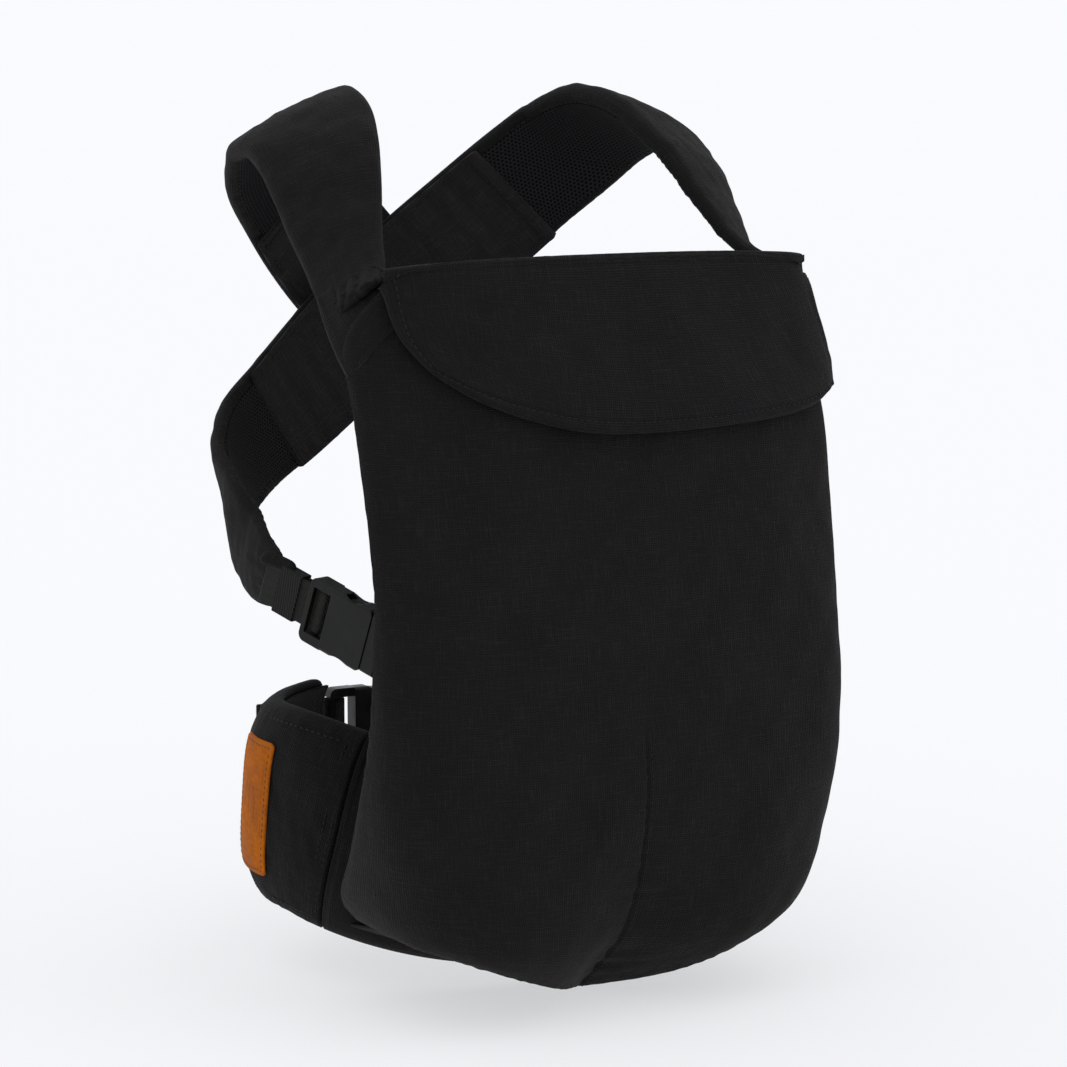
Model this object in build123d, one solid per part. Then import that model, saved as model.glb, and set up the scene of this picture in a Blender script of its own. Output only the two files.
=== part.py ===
"""Soft baby carrier, buckled as it is worn: front panel with a fold-down headrest, waist belt, and two padded
shoulder straps that cross behind the wearer's back and clip to the sides of the panel.

Millimetres. +Z is up, the panel faces -Y, and the wearer's left is +X. The origin is the middle of the waist
opening. A node named left is on the -X side and a node named right on the +X side, as seen from the front.
Every soft part is a stack of layers, each a closed solid with a small gap to the next.
"""

from build123d import *
import math
import os

import numpy as np

# ---------------------------------------------------------------- driving dimensions
LAYER_GAP = 0.3  # air between two stacked layers of cloth, foam or mesh

PANEL_SHELL = 2.0  # outer linen of the panel
PANEL_PAD = 3.0  # thin foam inside the panel
PANEL_LINING = 1.6  # cotton lining on the baby's side
PANEL_TOP_Z = 304.0  # top edge of the panel
PANEL_OVERHANG = 11.0  # the panel, at the baby's seat, stands this far outside the belt on each side
PANEL_FOOT_Z = -104.0  # lowest point of the seat, in the middle
FLOOR_THICK = 1.6  # cloth under the seat, from the panel's foot to the belt
FLOOR_START = 0.12  # share of the way to the belt where that cloth is free of the panel
SEAT_FLOOR_RISE = 9.0  # how far above the belt's lower edge it is sewn on

HEADREST_DROP = 90.0  # how far the folded headrest hangs below its fold
HEADREST_COVER = 2.0  # cloth on the front of the headrest
HEADREST_PAD = 5.0  # foam behind it
HEADREST_INSET = 1.0  # its widest half, near the lower corners, is this much less than the panel's
HEADREST_CLEARANCE = 1.6  # air between the headrest and the panel
HEADREST_FOLD_LIFT = 8.0  # the fold stands this far above the panel's top edge

BELT_HALF_WIDTH = 138.0  # outside of the belt, left to right, halved
BELT_HALF_DEPTH = 100.0  # outside of the belt, front to back, halved
BELT_CENTRE_Y = -15.0
BELT_HEIGHT = 118.0  # at the sides
BELT_END_HEIGHT = 84.0  # at the tip of each wing
BELT_COVER = 2.0
BELT_FOAM = 8.0
BELT_MESH = 2.6
BELT_LEAN = 3.0  # degrees that the belt leans in towards the waist
BELT_BOW = 13.0  # how far the belt's top and bottom edges curl in
BELT_DIP = 29.0  # how far the front of the belt hangs below its sides
BELT_RISE = 18.0  # how far the middle of each wing's tip stands above the middle of the sides
BELT_SEAM_ANGLE = 57.0  # degrees from the front centre to the seam of each wing
BELT_WING_ANGLE = 158.0  # degrees from the front centre to the tip of each wing
BELT_SEAM_GAP = 0.8

PANEL_HALF_WIDTH = BELT_HALF_WIDTH + PANEL_OVERHANG
HEADREST_HALF_WIDTH = PANEL_HALF_WIDTH - HEADREST_INSET

STRAP_COVER = 1.8
STRAP_MESH = 2.2
STRAP_SLEEVE = 1.2
STRAP_BOW = 3.0  # how far a strap's edges curl in
STRAP_CROSS_OFFSET = 8.5  # each strap moves this far off the other where they cross

STRAP_WEB = 25.0  # shoulder webbing
WAIST_WEB = 38.0  # waist webbing
WEB_THICK = 1.5
PATCH_LENGTH = 78.0
PATCH_WIDTH = 40.0
PATCH_THICK = 2.0


DART_HALF_WIDTH = 36.0  # how far the dart's valley reaches to each side

# One strap from its seam on the panel's top corner (+X), over the shoulder, across the back and round the other
# flank (-X): the edge by the arm, the edge by the neck, foam thickness, and share of the crossing offset.
STRAP_STATIONS = [
    (147, -134, 277, 131, -148, 306, 2.5, 0),
    (147, -112, 292, 119, -136, 312, 3.5, 0),
    (145, -92, 309, 111, -120, 323, 5.0, 0),
    (147, -76, 328, 103, -105, 340, 6.0, 0),
    (148, -60, 347, 95, -89, 360, 7.0, 0),
    (148, -42, 362, 87, -70, 380, 8.0, 0),
    (147, -20, 371, 79, -46, 395, 8.0, 0),
    (144, 4, 369, 74, -18, 403, 8.0, 0),
    (136, 24, 357, 70, 10, 400, 7.5, 0.1),
    (125, 42, 340, 63, 34, 390, 7.0, 0.4),
    (104, 60, 319, 46, 55, 373, 6.0, 0.9),
    (78, 77, 291, 24, 73, 350, 5.0, 1.0),
    (50, 88, 263, -4, 86, 324, 4.5, 1.0),
    (19, 93, 238, -36, 91, 296, 4.0, 1.0),
    (-18, 89, 212, -70, 85, 266, 4.0, 1.0),
    (-54, 78, 191, -104, 71, 238, 4.5, 0.9),
    (-84, 61, 177, -130, 51, 219, 5.0, 0.3),
    (-111, 40, 162, -145, 28, 206, 5.0, 0),
    (-132, 16, 148, -151, 5, 195, 5.0, 0),
    (-146, -8, 136, -152, -16, 183, 4.5, 0),
    (-153, -30, 126, -150, -36, 169, 3.5, 0),
    (-157, -50, 120, -153, -57, 158, 3.0, 0),
    (-159, -69, 120, -155, -78, 149, 2.5, 0),
]
STRAP_DRAWN_FOR = 149.0  # half width of the panel that these stations fit; they spread with a wider one
SLEEVE_FIRST, SLEEVE_LAST = 10.2, 15.6  # stations between which the cloth sleeve covers the mesh
STRAP_COUNT = 67  # sections along each strap

SHOULDER_LADDER = (1.0 - PANEL_HALF_WIDTH, -104.0, 124.0)  # where the webbing enters the -X receiver
SHOULDER_AXIS = (0.35, -0.88, -0.32)  # from the ladder towards the panel
SHOULDER_FACE = (-0.929, -0.37, 0.0)  # outward face of the buckle
SHOULDER_LEAD = [(-31.5, 0.0)]  # where the webbing leaves the strap's end, in the buckle's plane
SHOULDER_TAIL_END = -25.0
SHOULDER_TAB = [(96.0, 0.0)]  # middle of the doubled tab from its seam to the plug
KEEPER_START = -24.0
KEEPER_LENGTH = 15.0
KEEPER_WALL = 0.8
KEEPER_PLAY = 0.4  # air between the keeper and the webbing in it
TAIL_DROP = 4.4  # the webbing's tail runs this far inside its lead
WAIST_LADDER = (-40.0, 90.0, 12.0)
WAIST_SEAM_X = 0.65 * BELT_HALF_WIDTH  # where the waist webbing is sewn on each wing
WAIST_BEND_X = 0.52 * BELT_HALF_WIDTH  # where it turns in line with the buckle
WAIST_LEAD = [
    (-WAIST_SEAM_X - WAIST_LADDER[0], 26.0),
    (-WAIST_BEND_X - WAIST_LADDER[0], 16.5),
    (-15.0, 0.0),
]
WAIST_TAIL_END = -46.0
WAIST_TAB = [
    (WAIST_SEAM_X - WAIST_LADDER[0], 24.0),
    (WAIST_BEND_X - WAIST_LADDER[0], 14.5),
    (88.0, 2.0),
]


# ---------------------------------------------------------------- shared maths
def through(rows, count):
    """Points evenly spread in station number along a Catmull-Rom curve through the rows."""
    rows = np.asarray(rows, float)
    ends = np.vstack([2 * rows[0] - rows[1], rows, 2 * rows[-1] - rows[-2]])
    made = []
    for s in np.linspace(0, len(rows) - 1, count):
        i = min(int(s), len(rows) - 2)
        f = s - i
        a, b, c, d = ends[i : i + 4]
        bend = (2 * a - 5 * b + 4 * c - d) * f**2
        twist = (3 * b - a - 3 * c + d) * f**3
        made.append(0.5 * (2 * b + (c - a) * f + bend + twist))
    return np.array(made)


def save(solids, node):
    """Writes one node's solids to its STEP file."""
    shape = solids[0] if len(solids) == 1 else Compound(children=solids)
    export_step(shape, f"parts/{node}.step")


def skin(grid):
    """One smooth face through a grid of points."""
    return Face.make_surface_from_array_of_points([[Vector(*p) for p in row] for row in grid], tol=0.02)


def edge_between(face, a, b):
    """The face's edge whose two ends are nearest to a and b."""

    def miss(edge):
        ends = [np.array(tuple(edge @ 0)), np.array(tuple(edge @ 1))]
        straight = np.linalg.norm(ends[0] - a) + np.linalg.norm(ends[1] - b)
        crossed = np.linalg.norm(ends[0] - b) + np.linalg.norm(ends[1] - a)
        return min(straight, crossed)

    return min(face.edges(), key=miss)


def between(lower, upper):
    """A closed solid between two grids of the same shape, with ruled sides."""
    faces = [skin(lower), skin(upper)]
    corners = [(0, 0), (0, -1), (-1, -1), (-1, 0)]
    for first, last in zip(corners, corners[1:] + corners[:1]):
        rims = [edge_between(f, g[first], g[last]) for f, g in zip(faces, (lower, upper))]
        faces.append(Face.make_surface_from_curves(*rims))
    return Solid(Shell(faces[:]))


# ---------------------------------------------------------------- ribbons: straps and belt
class Ribbon:
    """A band of cloth in space: middles, across directions and half widths at each station, and which way is out.

    The bow is how far its two edges curl in towards the wearer; a higher curl power keeps its middle flatter.
    """

    def __init__(self, middles, across, half_widths, outward_sign, bow, curl):
        self.middle = middles
        self.bow, self.curl = bow, curl
        along = np.gradient(middles, axis=0, edge_order=2)
        along /= np.linalg.norm(along, axis=1)[:, None]
        flat = across - (across * along).sum(1)[:, None] * along
        self.across = flat / np.linalg.norm(flat, axis=1)[:, None]
        self.outward = outward_sign * np.cross(along, self.across)
        self.half = half_widths

    def grid(self, height, trim=0.0):
        """Points across the band at a height above its middle surface; the height may change along it."""
        height = np.broadcast_to(height, len(self.middle))[:, None]
        share = np.linspace(-1, 1, 9)[None, :] * ((self.half - trim) / self.half)[:, None]
        lift = height - self.bow * np.abs(share) ** self.curl
        sideways = (share * self.half[:, None])[:, :, None] * self.across[:, None, :]
        return self.middle[:, None, :] + sideways + lift[:, :, None] * self.outward[:, None, :]

    def layer(self, low, high, first=0, last=None, trim=0.0):
        """A closed solid between two heights."""
        return between(self.grid(low, trim)[first:last], self.grid(high, trim)[first:last])


# ---------------------------------------------------------------- panel and headrest
# Down the panel: middle y and z of the front face, then half width, y and z of the side edge, squareness of the
# line between them, depth of the dart's valley in the middle, and how straight the line falls to the middle (0 to 1).
def panel_rows():
    half, top, foot = PANEL_HALF_WIDTH, PANEL_TOP_Z, PANEL_FOOT_Z
    return [
        (-168, top, half - 21, -156, top - 2, 2.2, 0, 0),
        (-177, top - 32, half - 1, -146, top - 32, 2.2, 0, 0),
        (-190, top - 79, half - 1, -158, top - 76, 2.3, 0, 0),
        (-203, top - 154, half - 2, -175, top - 154, 2.4, 0, 0),
        (-210, 100, half - 1, -176, 104, 2.6, 0, 0),
        (-214, 62, half, -172, 66, 2.9, 0, 0),
        (-218, 21, half, -158, 25, 3.3, 1, 0),
        (-218, -20, half - 5, -136, -10, 3.4, 9, 0.2),
        (-217, foot + 47, half - 12, -112, -35, 3.7, 24, 0.5),
        (-212, foot + 21, half - 22, -97, -50, 3.9, 46, 0.8),
        (-204, foot, half - 33, -86, -58, 3.8, 65, 1),
    ]


def panel_grid(rows, points=25):
    """The front face: each row runs from edge to edge through a superellipse, less the dart's valley."""
    angles = np.linspace(0, math.pi, points)
    cosine, sine = np.cos(angles), np.sin(angles)
    grid = []
    for yc, zc, half, ye, ze, power, valley, fall in rows:
        x = half * np.sign(cosine) * np.abs(cosine) ** (2 / power)
        reach = np.abs(sine) ** (2 / power)
        y = ye + (yc - ye) * reach + valley * np.exp(-((np.abs(x) / DART_HALF_WIDTH) ** 1.3))
        z = ze + (zc - ze) * ((1 - fall) * reach + fall * (1 - np.abs(x) / half))
        grid.append(np.column_stack([x, y, z]))
    return np.array(grid)


def offset_grid(grid, distance):
    """The same grid moved along its own outward normals."""
    down, over = np.gradient(grid, axis=0), np.gradient(grid, axis=1)
    normal = np.cross(over, down)
    normal /= np.linalg.norm(normal, axis=2)[:, :, None]
    return grid + distance * normal


def panel_layer(grid, outer, inner):
    return between(offset_grid(grid, inner), offset_grid(grid, outer))


def panel():
    rows = through(panel_rows(), 21)
    grid = panel_grid(rows)
    pad_front = -PANEL_SHELL - LAYER_GAP
    lining_front = pad_front - PANEL_PAD - LAYER_GAP
    save([panel_layer(grid, 0, -PANEL_SHELL)], "panel_shell")
    save([panel_layer(grid, pad_front, pad_front - PANEL_PAD)], "panel_padding")
    save([panel_layer(grid, lining_front, lining_front - PANEL_LINING)], "panel_lining")


def headrest():
    """The flap folded down over the panel's top. Its lower corners are rounded, the wearer's right one more."""
    back = HEADREST_CLEARANCE
    middle = back + HEADREST_PAD
    front = middle + LAYER_GAP + HEADREST_COVER
    fold_z = PANEL_TOP_Z + HEADREST_FOLD_LIFT
    half = HEADREST_HALF_WIDTH
    upper = (-164, fold_z, half - 14, -158, fold_z, 2.2, 0, 0)
    rows = [upper, *panel_rows()[0:4]]
    grid = panel_grid(through(rows, 9))
    foot = fold_z - HEADREST_DROP
    left = [(-half + 16, fold_z), (-half + 24, fold_z - 40), (-half + 52, foot + 22), (-half + 96, foot + 4)]
    right = [(0, foot - 4), (half - 50, foot - 1), (half - 10, foot + 8), (half, foot + 27), (half - 16, fold_z)]
    with BuildSketch(Plane.XZ) as cut:
        with BuildLine():
            Spline(*left, *right)
            Line(right[-1], left[0])
        make_face()
    outline = extrude(cut.sketch, amount=260)
    pad = panel_layer(grid, middle, back) & outline
    cover = panel_layer(grid, front, middle + LAYER_GAP) & outline
    save(list(pad.solids()), "headrest_padding")
    save(list(cover.solids()), "headrest_cover")


# ---------------------------------------------------------------- waist belt
def belt_ribbon(side, first_angle, last_angle, count):
    """The belt's middle surface from one angle to another, measured from the front centre round one side."""
    angles = np.radians(np.linspace(first_angle, last_angle, count))
    turn = np.abs(angles) / math.pi
    x = side * BELT_HALF_WIDTH * np.sin(angles)
    y = BELT_CENTRE_Y - BELT_HALF_DEPTH * np.cos(angles)
    dip = BELT_DIP * 0.5 * (1 + np.cos(math.pi * np.clip(turn / 0.5, 0, 1)))
    taper = np.clip((turn - 0.5) / (BELT_WING_ANGLE / 180 - 0.5), 0, 1) ** 1.6
    half = 0.5 * (BELT_HEIGHT - (BELT_HEIGHT - BELT_END_HEIGHT) * taper)
    z = -6 - dip + BELT_RISE * taper
    inward = np.column_stack([-x / BELT_HALF_WIDTH, (BELT_CENTRE_Y - y) / BELT_HALF_DEPTH, 0 * z])
    lean = math.radians(BELT_LEAN)
    across = math.sin(lean) * inward + np.array([0, 0, math.cos(lean)])
    return Ribbon(np.column_stack([x, y, z]), across, half, side, BELT_BOW, 4)


def belt():
    cover_low = -BELT_COVER
    foam_high = cover_low - LAYER_GAP
    foam_low = foam_high - BELT_FOAM
    mesh_high = foam_low - LAYER_GAP
    seam = BELT_SEAM_ANGLE
    for side, name in ((-1, "left"), (1, "right")):
        gap_angle = math.degrees(BELT_SEAM_GAP / BELT_HALF_DEPTH)
        wing = belt_ribbon(side, seam + gap_angle, BELT_WING_ANGLE, 28)
        whole = belt_ribbon(side, gap_angle, BELT_WING_ANGLE, 40)
        save([wing.layer(cover_low, 0)], f"belt_cover_{name}")
        save([whole.layer(foam_low, foam_high, trim=3)], f"belt_foam_{name}")
        save([whole.layer(mesh_high - BELT_MESH, mesh_high)], f"belt_mesh_{name}")
    save([belt_ribbon(1, -seam, seam, 31).layer(cover_low, 0)], "belt_front_cover")
    patch = belt_ribbon(-1, 83, 83 + math.degrees(PATCH_WIDTH / BELT_HALF_DEPTH) * 0.98, 7)
    patch_share = PATCH_LENGTH / 2 / patch.half
    patch.bow, patch.half = BELT_BOW * patch_share[0] ** 4, patch.half * patch_share
    save([patch.layer(LAYER_GAP, LAYER_GAP + PATCH_THICK)], "leather_patch")
    seat_floor()


def seat_floor():
    """The cloth that closes the pouch between the panel's foot and the lower edge of the belt's front."""
    foot = offset_grid(panel_grid(through(panel_rows(), 21)), -PANEL_SHELL - 2 * LAYER_GAP)[-1, 1:-1]
    angles = np.degrees(np.arcsin(0.97 * foot[:, 0] / BELT_HALF_WIDTH))
    rim = []
    for angle in angles:
        spot = belt_ribbon(1, angle - 1, angle + 1, 3)
        rim.append(spot.grid(FLOOR_THICK + LAYER_GAP, SEAT_FLOOR_RISE)[1, 0])
    share = np.linspace(0, 1, 7)[:, None, None]
    inside = foot * (1 - FLOOR_START) + np.array(rim) * FLOOR_START
    grid = inside[None] * (1 - share) + np.array(rim)[None] * share
    save([between(offset_grid(grid, -FLOOR_THICK), grid)], "seat_floor")


# ---------------------------------------------------------------- shoulder straps
def strap_ribbon(side, lift):
    """The strap that starts on one side; lift is the crossing offset away from the wearer's back."""
    rows = through(STRAP_STATIONS, STRAP_COUNT)
    rows[:, [0, 3]] *= PANEL_HALF_WIDTH / STRAP_DRAWN_FOR
    arm, neck = rows[:, 0:3], rows[:, 3:6]
    middles = (arm + neck) / 2
    middles[:, 1] += rows[:, 7] * lift
    across = neck - arm
    half = np.linalg.norm(across, axis=1) / 2
    middles[:, 0] *= side
    across[:, 0] *= side
    return Ribbon(middles, across, half, side, STRAP_BOW, 2), rows[:, 6]


def shoulder_straps():
    share = (STRAP_COUNT - 1) / (len(STRAP_STATIONS) - 1)
    first, last = round(SLEEVE_FIRST * share), round(SLEEVE_LAST * share)
    for side, lift, name in ((-1, STRAP_CROSS_OFFSET, "left"), (1, -STRAP_CROSS_OFFSET, "right")):
        band, foam = strap_ribbon(side, lift)
        high = foam / 2
        save([band.layer(high + LAYER_GAP, high + LAYER_GAP + STRAP_COVER)], f"strap_cover_{name}")
        save([band.layer(-high, high, trim=2.5)], f"strap_foam_{name}")
        mesh_top = -high - LAYER_GAP
        save([band.layer(mesh_top - STRAP_MESH, mesh_top, trim=0.6)], f"strap_mesh_{name}")
        sleeve_top = mesh_top - STRAP_MESH - LAYER_GAP
        save([band.layer(sleeve_top - STRAP_SLEEVE, sleeve_top, first, last)], f"strap_sleeve_{name}")


# ---------------------------------------------------------------- side-release buckles
class BuckleSizes:
    """Every size of a side-release buckle follows the webbing's width. x runs from the ladder end to the plug."""

    def __init__(self, web):
        self.web = web
        self.stretch = 0.75 + web / 100  # longer buckles for wider webbing
        self.slot = web + 1.6
        self.width = web + 12.5
        self.thick = 9.5 + web / 25
        self.rail = (self.width - self.slot) / 2
        self.ladder = 16.5
        self.corner = 4.5  # rounding of its four corners, seen from its face
        self.grip_radius = 15.0  # the hollow in each side where the fingers press
        self.grip_depth = 2.0
        self.mouth = self.ladder + 30 * self.stretch
        self.cavity = self.width - 7.0
        self.cavity_height = 6.6
        self.window = (self.mouth - 22 * self.stretch, self.mouth - 9 * self.stretch)
        self.base = 9.0 * self.stretch
        self.tab_bar = self.mouth + self.base + 7.5
        self.arm_y = self.cavity / 2 - 4.6
        self.barb_y = self.width / 2 - 1.8


def at(x0, x1, y0, y1, z0, z1):
    """A box between two corners."""
    return Pos((x0 + x1) / 2, (y0 + y1) / 2, (z0 + z1) / 2) * Box(x1 - x0, y1 - y0, z1 - z0)


def receiver(s):
    """The female half: ladder with an upper end bar and a round middle bar, and a socket with side windows."""
    half, t = s.width / 2, s.thick / 2
    shell = at(s.ladder, s.mouth, -half, half, -t, t)
    shell = fillet(shell.edges().filter_by(Axis.X), 2.4)
    shell -= at(s.ladder + 2, s.mouth + 1, -s.cavity / 2, s.cavity / 2, -s.cavity_height / 2, s.cavity_height / 2)
    for y in (-half, half):
        shell -= at(*s.window, y - 4.5, y + 4.5, -s.cavity_height / 2, s.cavity_height / 2)
    rails = at(0, s.ladder, s.slot / 2, half, -4.6, 4.2) + at(0, s.ladder, -half, -s.slot / 2, -4.6, 4.2)
    end_bar = at(0, 3, -half, half, 1.3, 4.2)
    middle_bar = Pos(8, 0, -1.2) * Rot(90, 0, 0) * Cylinder(1.6, s.width - 1)
    outline = Rectangle(s.mouth, s.width)
    outline = fillet(outline.vertices(), s.corner)
    body = (shell + rails + end_bar + middle_bar) & Pos(s.mouth / 2, 0, -t) * extrude(outline, amount=2 * t)
    grip = (s.window[0] + s.window[1]) / 2
    for y in (-1, 1):
        body -= Pos(grip, y * (half + s.grip_radius - s.grip_depth), 0) * Cylinder(s.grip_radius, 3 * t)
    return body


def plug(s):
    """The male half: a base outside the mouth, a guide spine inside it and a bar for its own webbing."""
    half, t = s.width / 2 - 1.5, s.thick / 2 - 0.5
    start = s.mouth + 0.4
    body = at(start, start + s.base, -half, half, -t, t)
    body = fillet(body.edges().filter_by(Axis.X), 2.0)
    spine = at(s.window[0] + 3, start + 1, -4, 4, -2.4, 2.4)
    rails = at(start + s.base - 1, s.tab_bar + 3, s.slot / 2, half, -3, 3)
    rails += at(start + s.base - 1, s.tab_bar + 3, -half, -s.slot / 2, -3, 3)
    bar = at(s.tab_bar, s.tab_bar + 3, -half, half, -1.5, 1.5)
    sockets = [at(start - 1, start + 3.2, y - 2.2, y + 2.2, -3, 3) for y in (-s.arm_y, s.arm_y)]
    return body + spine + rails + bar - sockets[0] - sockets[1]


def prong(s, up):
    """A springy arm with a barb that stands in the receiver's side window; up is 1 or -1 across the webbing."""
    root, tip = s.mouth + 3.2, s.window[0] + 1.2
    barb_end = s.window[1] - 0.8
    y0, y1 = s.arm_y - 1.6, s.arm_y + 1.6
    inner = [(root, y0), (tip + 1, y0 - 0.3), (tip, y0 + 1.2)]
    outer = [(tip + 3, s.barb_y), (barb_end, s.barb_y), (barb_end, y1), (root, y1)]
    points = inner + outer
    with BuildSketch() as outline:
        with BuildLine():
            Polyline(*[(x, y * up) for x, y in points], close=True)
        make_face()
    return extrude(outline.sketch, amount=2.7, both=True)


def web_path(points, web, radius=0.9):
    """Flat webbing of the given width that follows a path in the buckle's x-z plane."""
    with BuildSketch(Plane.XZ) as section:
        with BuildLine() as line:
            FilletPolyline(*points, radius=radius)
        trace(line.line, WEB_THICK)
    band = extrude(section.sketch, amount=web / 2, both=True)
    return band.solids()[0] if len(band.solids()) == 1 else band


def adjuster_web(s, lead, tail_end):
    """From the strap along its lead, under the end bar, over the middle bar, and back underneath as a tail."""
    points = [*lead, (4.4, 0), (6.4, 1.6), (10.8, 1.6), (10.8, -TAIL_DROP), (tail_end, -TAIL_DROP)]
    return web_path(points, s.web)


TAB_HALF_GAP = 1.2  # half the distance between the middles of the tab's two layers


def tab_web(s, route):
    """A doubled band that follows the route from its seam, and loops round the plug's bar."""
    middle = s.tab_bar + 1.5
    loop = [(middle + 5, 2.6), (middle - 2.8, 2.6), (middle - 2.8, -2.6), (middle + 5, -2.6)]
    upper = [(x, z + TAB_HALF_GAP) for x, z in route]
    lower = [(x, z - TAB_HALF_GAP) for x, z in reversed(route)]
    return web_path(upper + loop + lower, s.web, 0.8)


def keeper(s, first, length):
    """An elastic band round both layers of webbing."""
    side, air = s.web / 2 + KEEPER_PLAY, WEB_THICK / 2 + KEEPER_PLAY
    hole = at(first - 1, first + length + 1, -side, side, -TAIL_DROP - air, air)
    side, air = side + KEEPER_WALL, air + KEEPER_WALL
    outer = at(first, first + length, -side, side, -TAIL_DROP - air, air)
    return fillet(outer.edges().filter_by(Axis.X), 1.0) - hole


def placed(shape, plane):
    return plane.location * shape


def buckle_set(web, plane, names, lead, tail_end, tab):
    """The pieces that every buckle has, placed on a plane and saved under its names."""
    s = BuckleSizes(web)
    save([placed(receiver(s), plane)], names + "_receiver")
    save([placed(plug(s), plane)], names + "_plug")
    save([placed(prong(s, 1), plane)], names + "_prong_upper")
    save([placed(prong(s, -1), plane)], names + "_prong_lower")
    save([placed(adjuster_web(s, lead, tail_end), plane)], names + "_webbing")
    save([placed(tab_web(s, tab), plane)], names + "_tab")


def buckles():
    for side, name in ((-1, "left"), (1, "right")):
        origin = (-side * SHOULDER_LADDER[0], SHOULDER_LADDER[1], SHOULDER_LADDER[2])
        axis = (-side * SHOULDER_AXIS[0], SHOULDER_AXIS[1], SHOULDER_AXIS[2])
        face = (-side * SHOULDER_FACE[0], SHOULDER_FACE[1], SHOULDER_FACE[2])
        plane = Plane(origin=origin, x_dir=axis, z_dir=face)
        names = "shoulder_" + name
        buckle_set(STRAP_WEB, plane, names, SHOULDER_LEAD, SHOULDER_TAIL_END, SHOULDER_TAB)
        band = keeper(BuckleSizes(STRAP_WEB), KEEPER_START, KEEPER_LENGTH)
        save([placed(band, plane)], names + "_keeper")
    waist = Plane(origin=WAIST_LADDER, x_dir=(1, 0, 0), z_dir=(0, -1, 0))
    buckle_set(WAIST_WEB, waist, "waist", WAIST_LEAD, WAIST_TAIL_END, WAIST_TAB)


if __name__ == "__main__":
    os.makedirs("parts", exist_ok=True)
    panel()
    headrest()
    belt()
    shoulder_straps()
    buckles()
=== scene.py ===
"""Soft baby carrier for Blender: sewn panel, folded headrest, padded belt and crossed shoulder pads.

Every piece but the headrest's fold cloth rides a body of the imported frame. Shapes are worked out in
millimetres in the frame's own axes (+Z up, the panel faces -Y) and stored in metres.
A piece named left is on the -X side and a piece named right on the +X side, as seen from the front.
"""

import math

import bmesh
import bpy
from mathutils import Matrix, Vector
import numpy as np


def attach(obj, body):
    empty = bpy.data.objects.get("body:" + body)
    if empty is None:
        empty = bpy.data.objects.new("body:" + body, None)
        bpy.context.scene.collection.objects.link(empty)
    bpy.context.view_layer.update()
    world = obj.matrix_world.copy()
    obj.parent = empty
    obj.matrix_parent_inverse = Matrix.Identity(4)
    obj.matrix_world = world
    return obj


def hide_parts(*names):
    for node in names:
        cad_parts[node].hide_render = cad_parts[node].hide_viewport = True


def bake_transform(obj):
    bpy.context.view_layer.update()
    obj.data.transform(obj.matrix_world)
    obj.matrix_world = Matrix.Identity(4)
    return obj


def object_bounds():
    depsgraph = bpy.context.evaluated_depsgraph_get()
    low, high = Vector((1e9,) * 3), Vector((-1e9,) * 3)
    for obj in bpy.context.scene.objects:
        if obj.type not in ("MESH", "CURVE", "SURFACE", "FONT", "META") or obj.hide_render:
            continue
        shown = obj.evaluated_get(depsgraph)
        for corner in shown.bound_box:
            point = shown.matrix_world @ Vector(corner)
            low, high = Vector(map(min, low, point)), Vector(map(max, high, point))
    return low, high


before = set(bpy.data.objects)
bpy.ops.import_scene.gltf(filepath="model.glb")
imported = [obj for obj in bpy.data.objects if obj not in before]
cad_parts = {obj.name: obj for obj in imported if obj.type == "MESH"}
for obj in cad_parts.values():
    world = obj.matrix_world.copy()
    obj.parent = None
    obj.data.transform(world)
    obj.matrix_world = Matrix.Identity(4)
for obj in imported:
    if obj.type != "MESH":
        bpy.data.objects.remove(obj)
CAD_BOX = [list(corner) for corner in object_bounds()]

bl_info = {
    "name": "Soft Baby Carrier",
    "version": (1, 0, 0),
    "blender": (4, 5, 0),
    "location": "View3D > Sidebar > Carrier",
    "description": "Sews a buckled soft baby carrier in slub linen, spacer mesh, webbing and leather",
    "category": "Add Mesh",
}

MM = 0.001


# ---------------------------------------------------------------- the carrier's own shape, in millimetres
# Down the panel: middle y and z of the front face, then half width, y and z of the side edge, squareness of
# the line between them, depth of the dart's valley, and how straight the line falls to the middle.
PANEL_ROWS = [
    (-168, 304, 128, -156, 302, 2.2, 0, 0),
    (-177, 272, 148, -146, 272, 2.2, 0, 0),
    (-190, 225, 148, -158, 228, 2.3, 0, 0),
    (-203, 150, 147, -175, 150, 2.4, 0, 0),
    (-210, 100, 148, -176, 104, 2.6, 0, 0),
    (-214, 62, 149, -172, 66, 2.9, 0, 0),
    (-218, 21, 149, -158, 25, 3.3, 1, 0),
    (-218, -20, 144, -136, -10, 3.4, 9, 0.2),
    (-217, -57, 137, -112, -35, 3.7, 24, 0.5),
    (-212, -83, 127, -97, -50, 3.9, 46, 0.8),
    (-204, -104, 116, -86, -58, 3.8, 65, 1),
]
DART_HALF_WIDTH = 36.0
PANEL_THICK = 5.6  # linen and foam together
LINING_THICK = 1.6

HEADREST_TOP_ROW = (-164, 312, 134, -158, 312, 2.2, 0, 0)
HEADREST_BACK, HEADREST_FRONT = 1.6, 8.9  # heights of its two faces above the panel's front
HEADREST_OUTLINE = [
    (-132, 312),
    (-124, 272),
    (-96, 244),
    (-52, 226),
    (0, 218),
    (98, 221),
    (138, 230),
    (148, 249),
    (132, 312),
]

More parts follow.
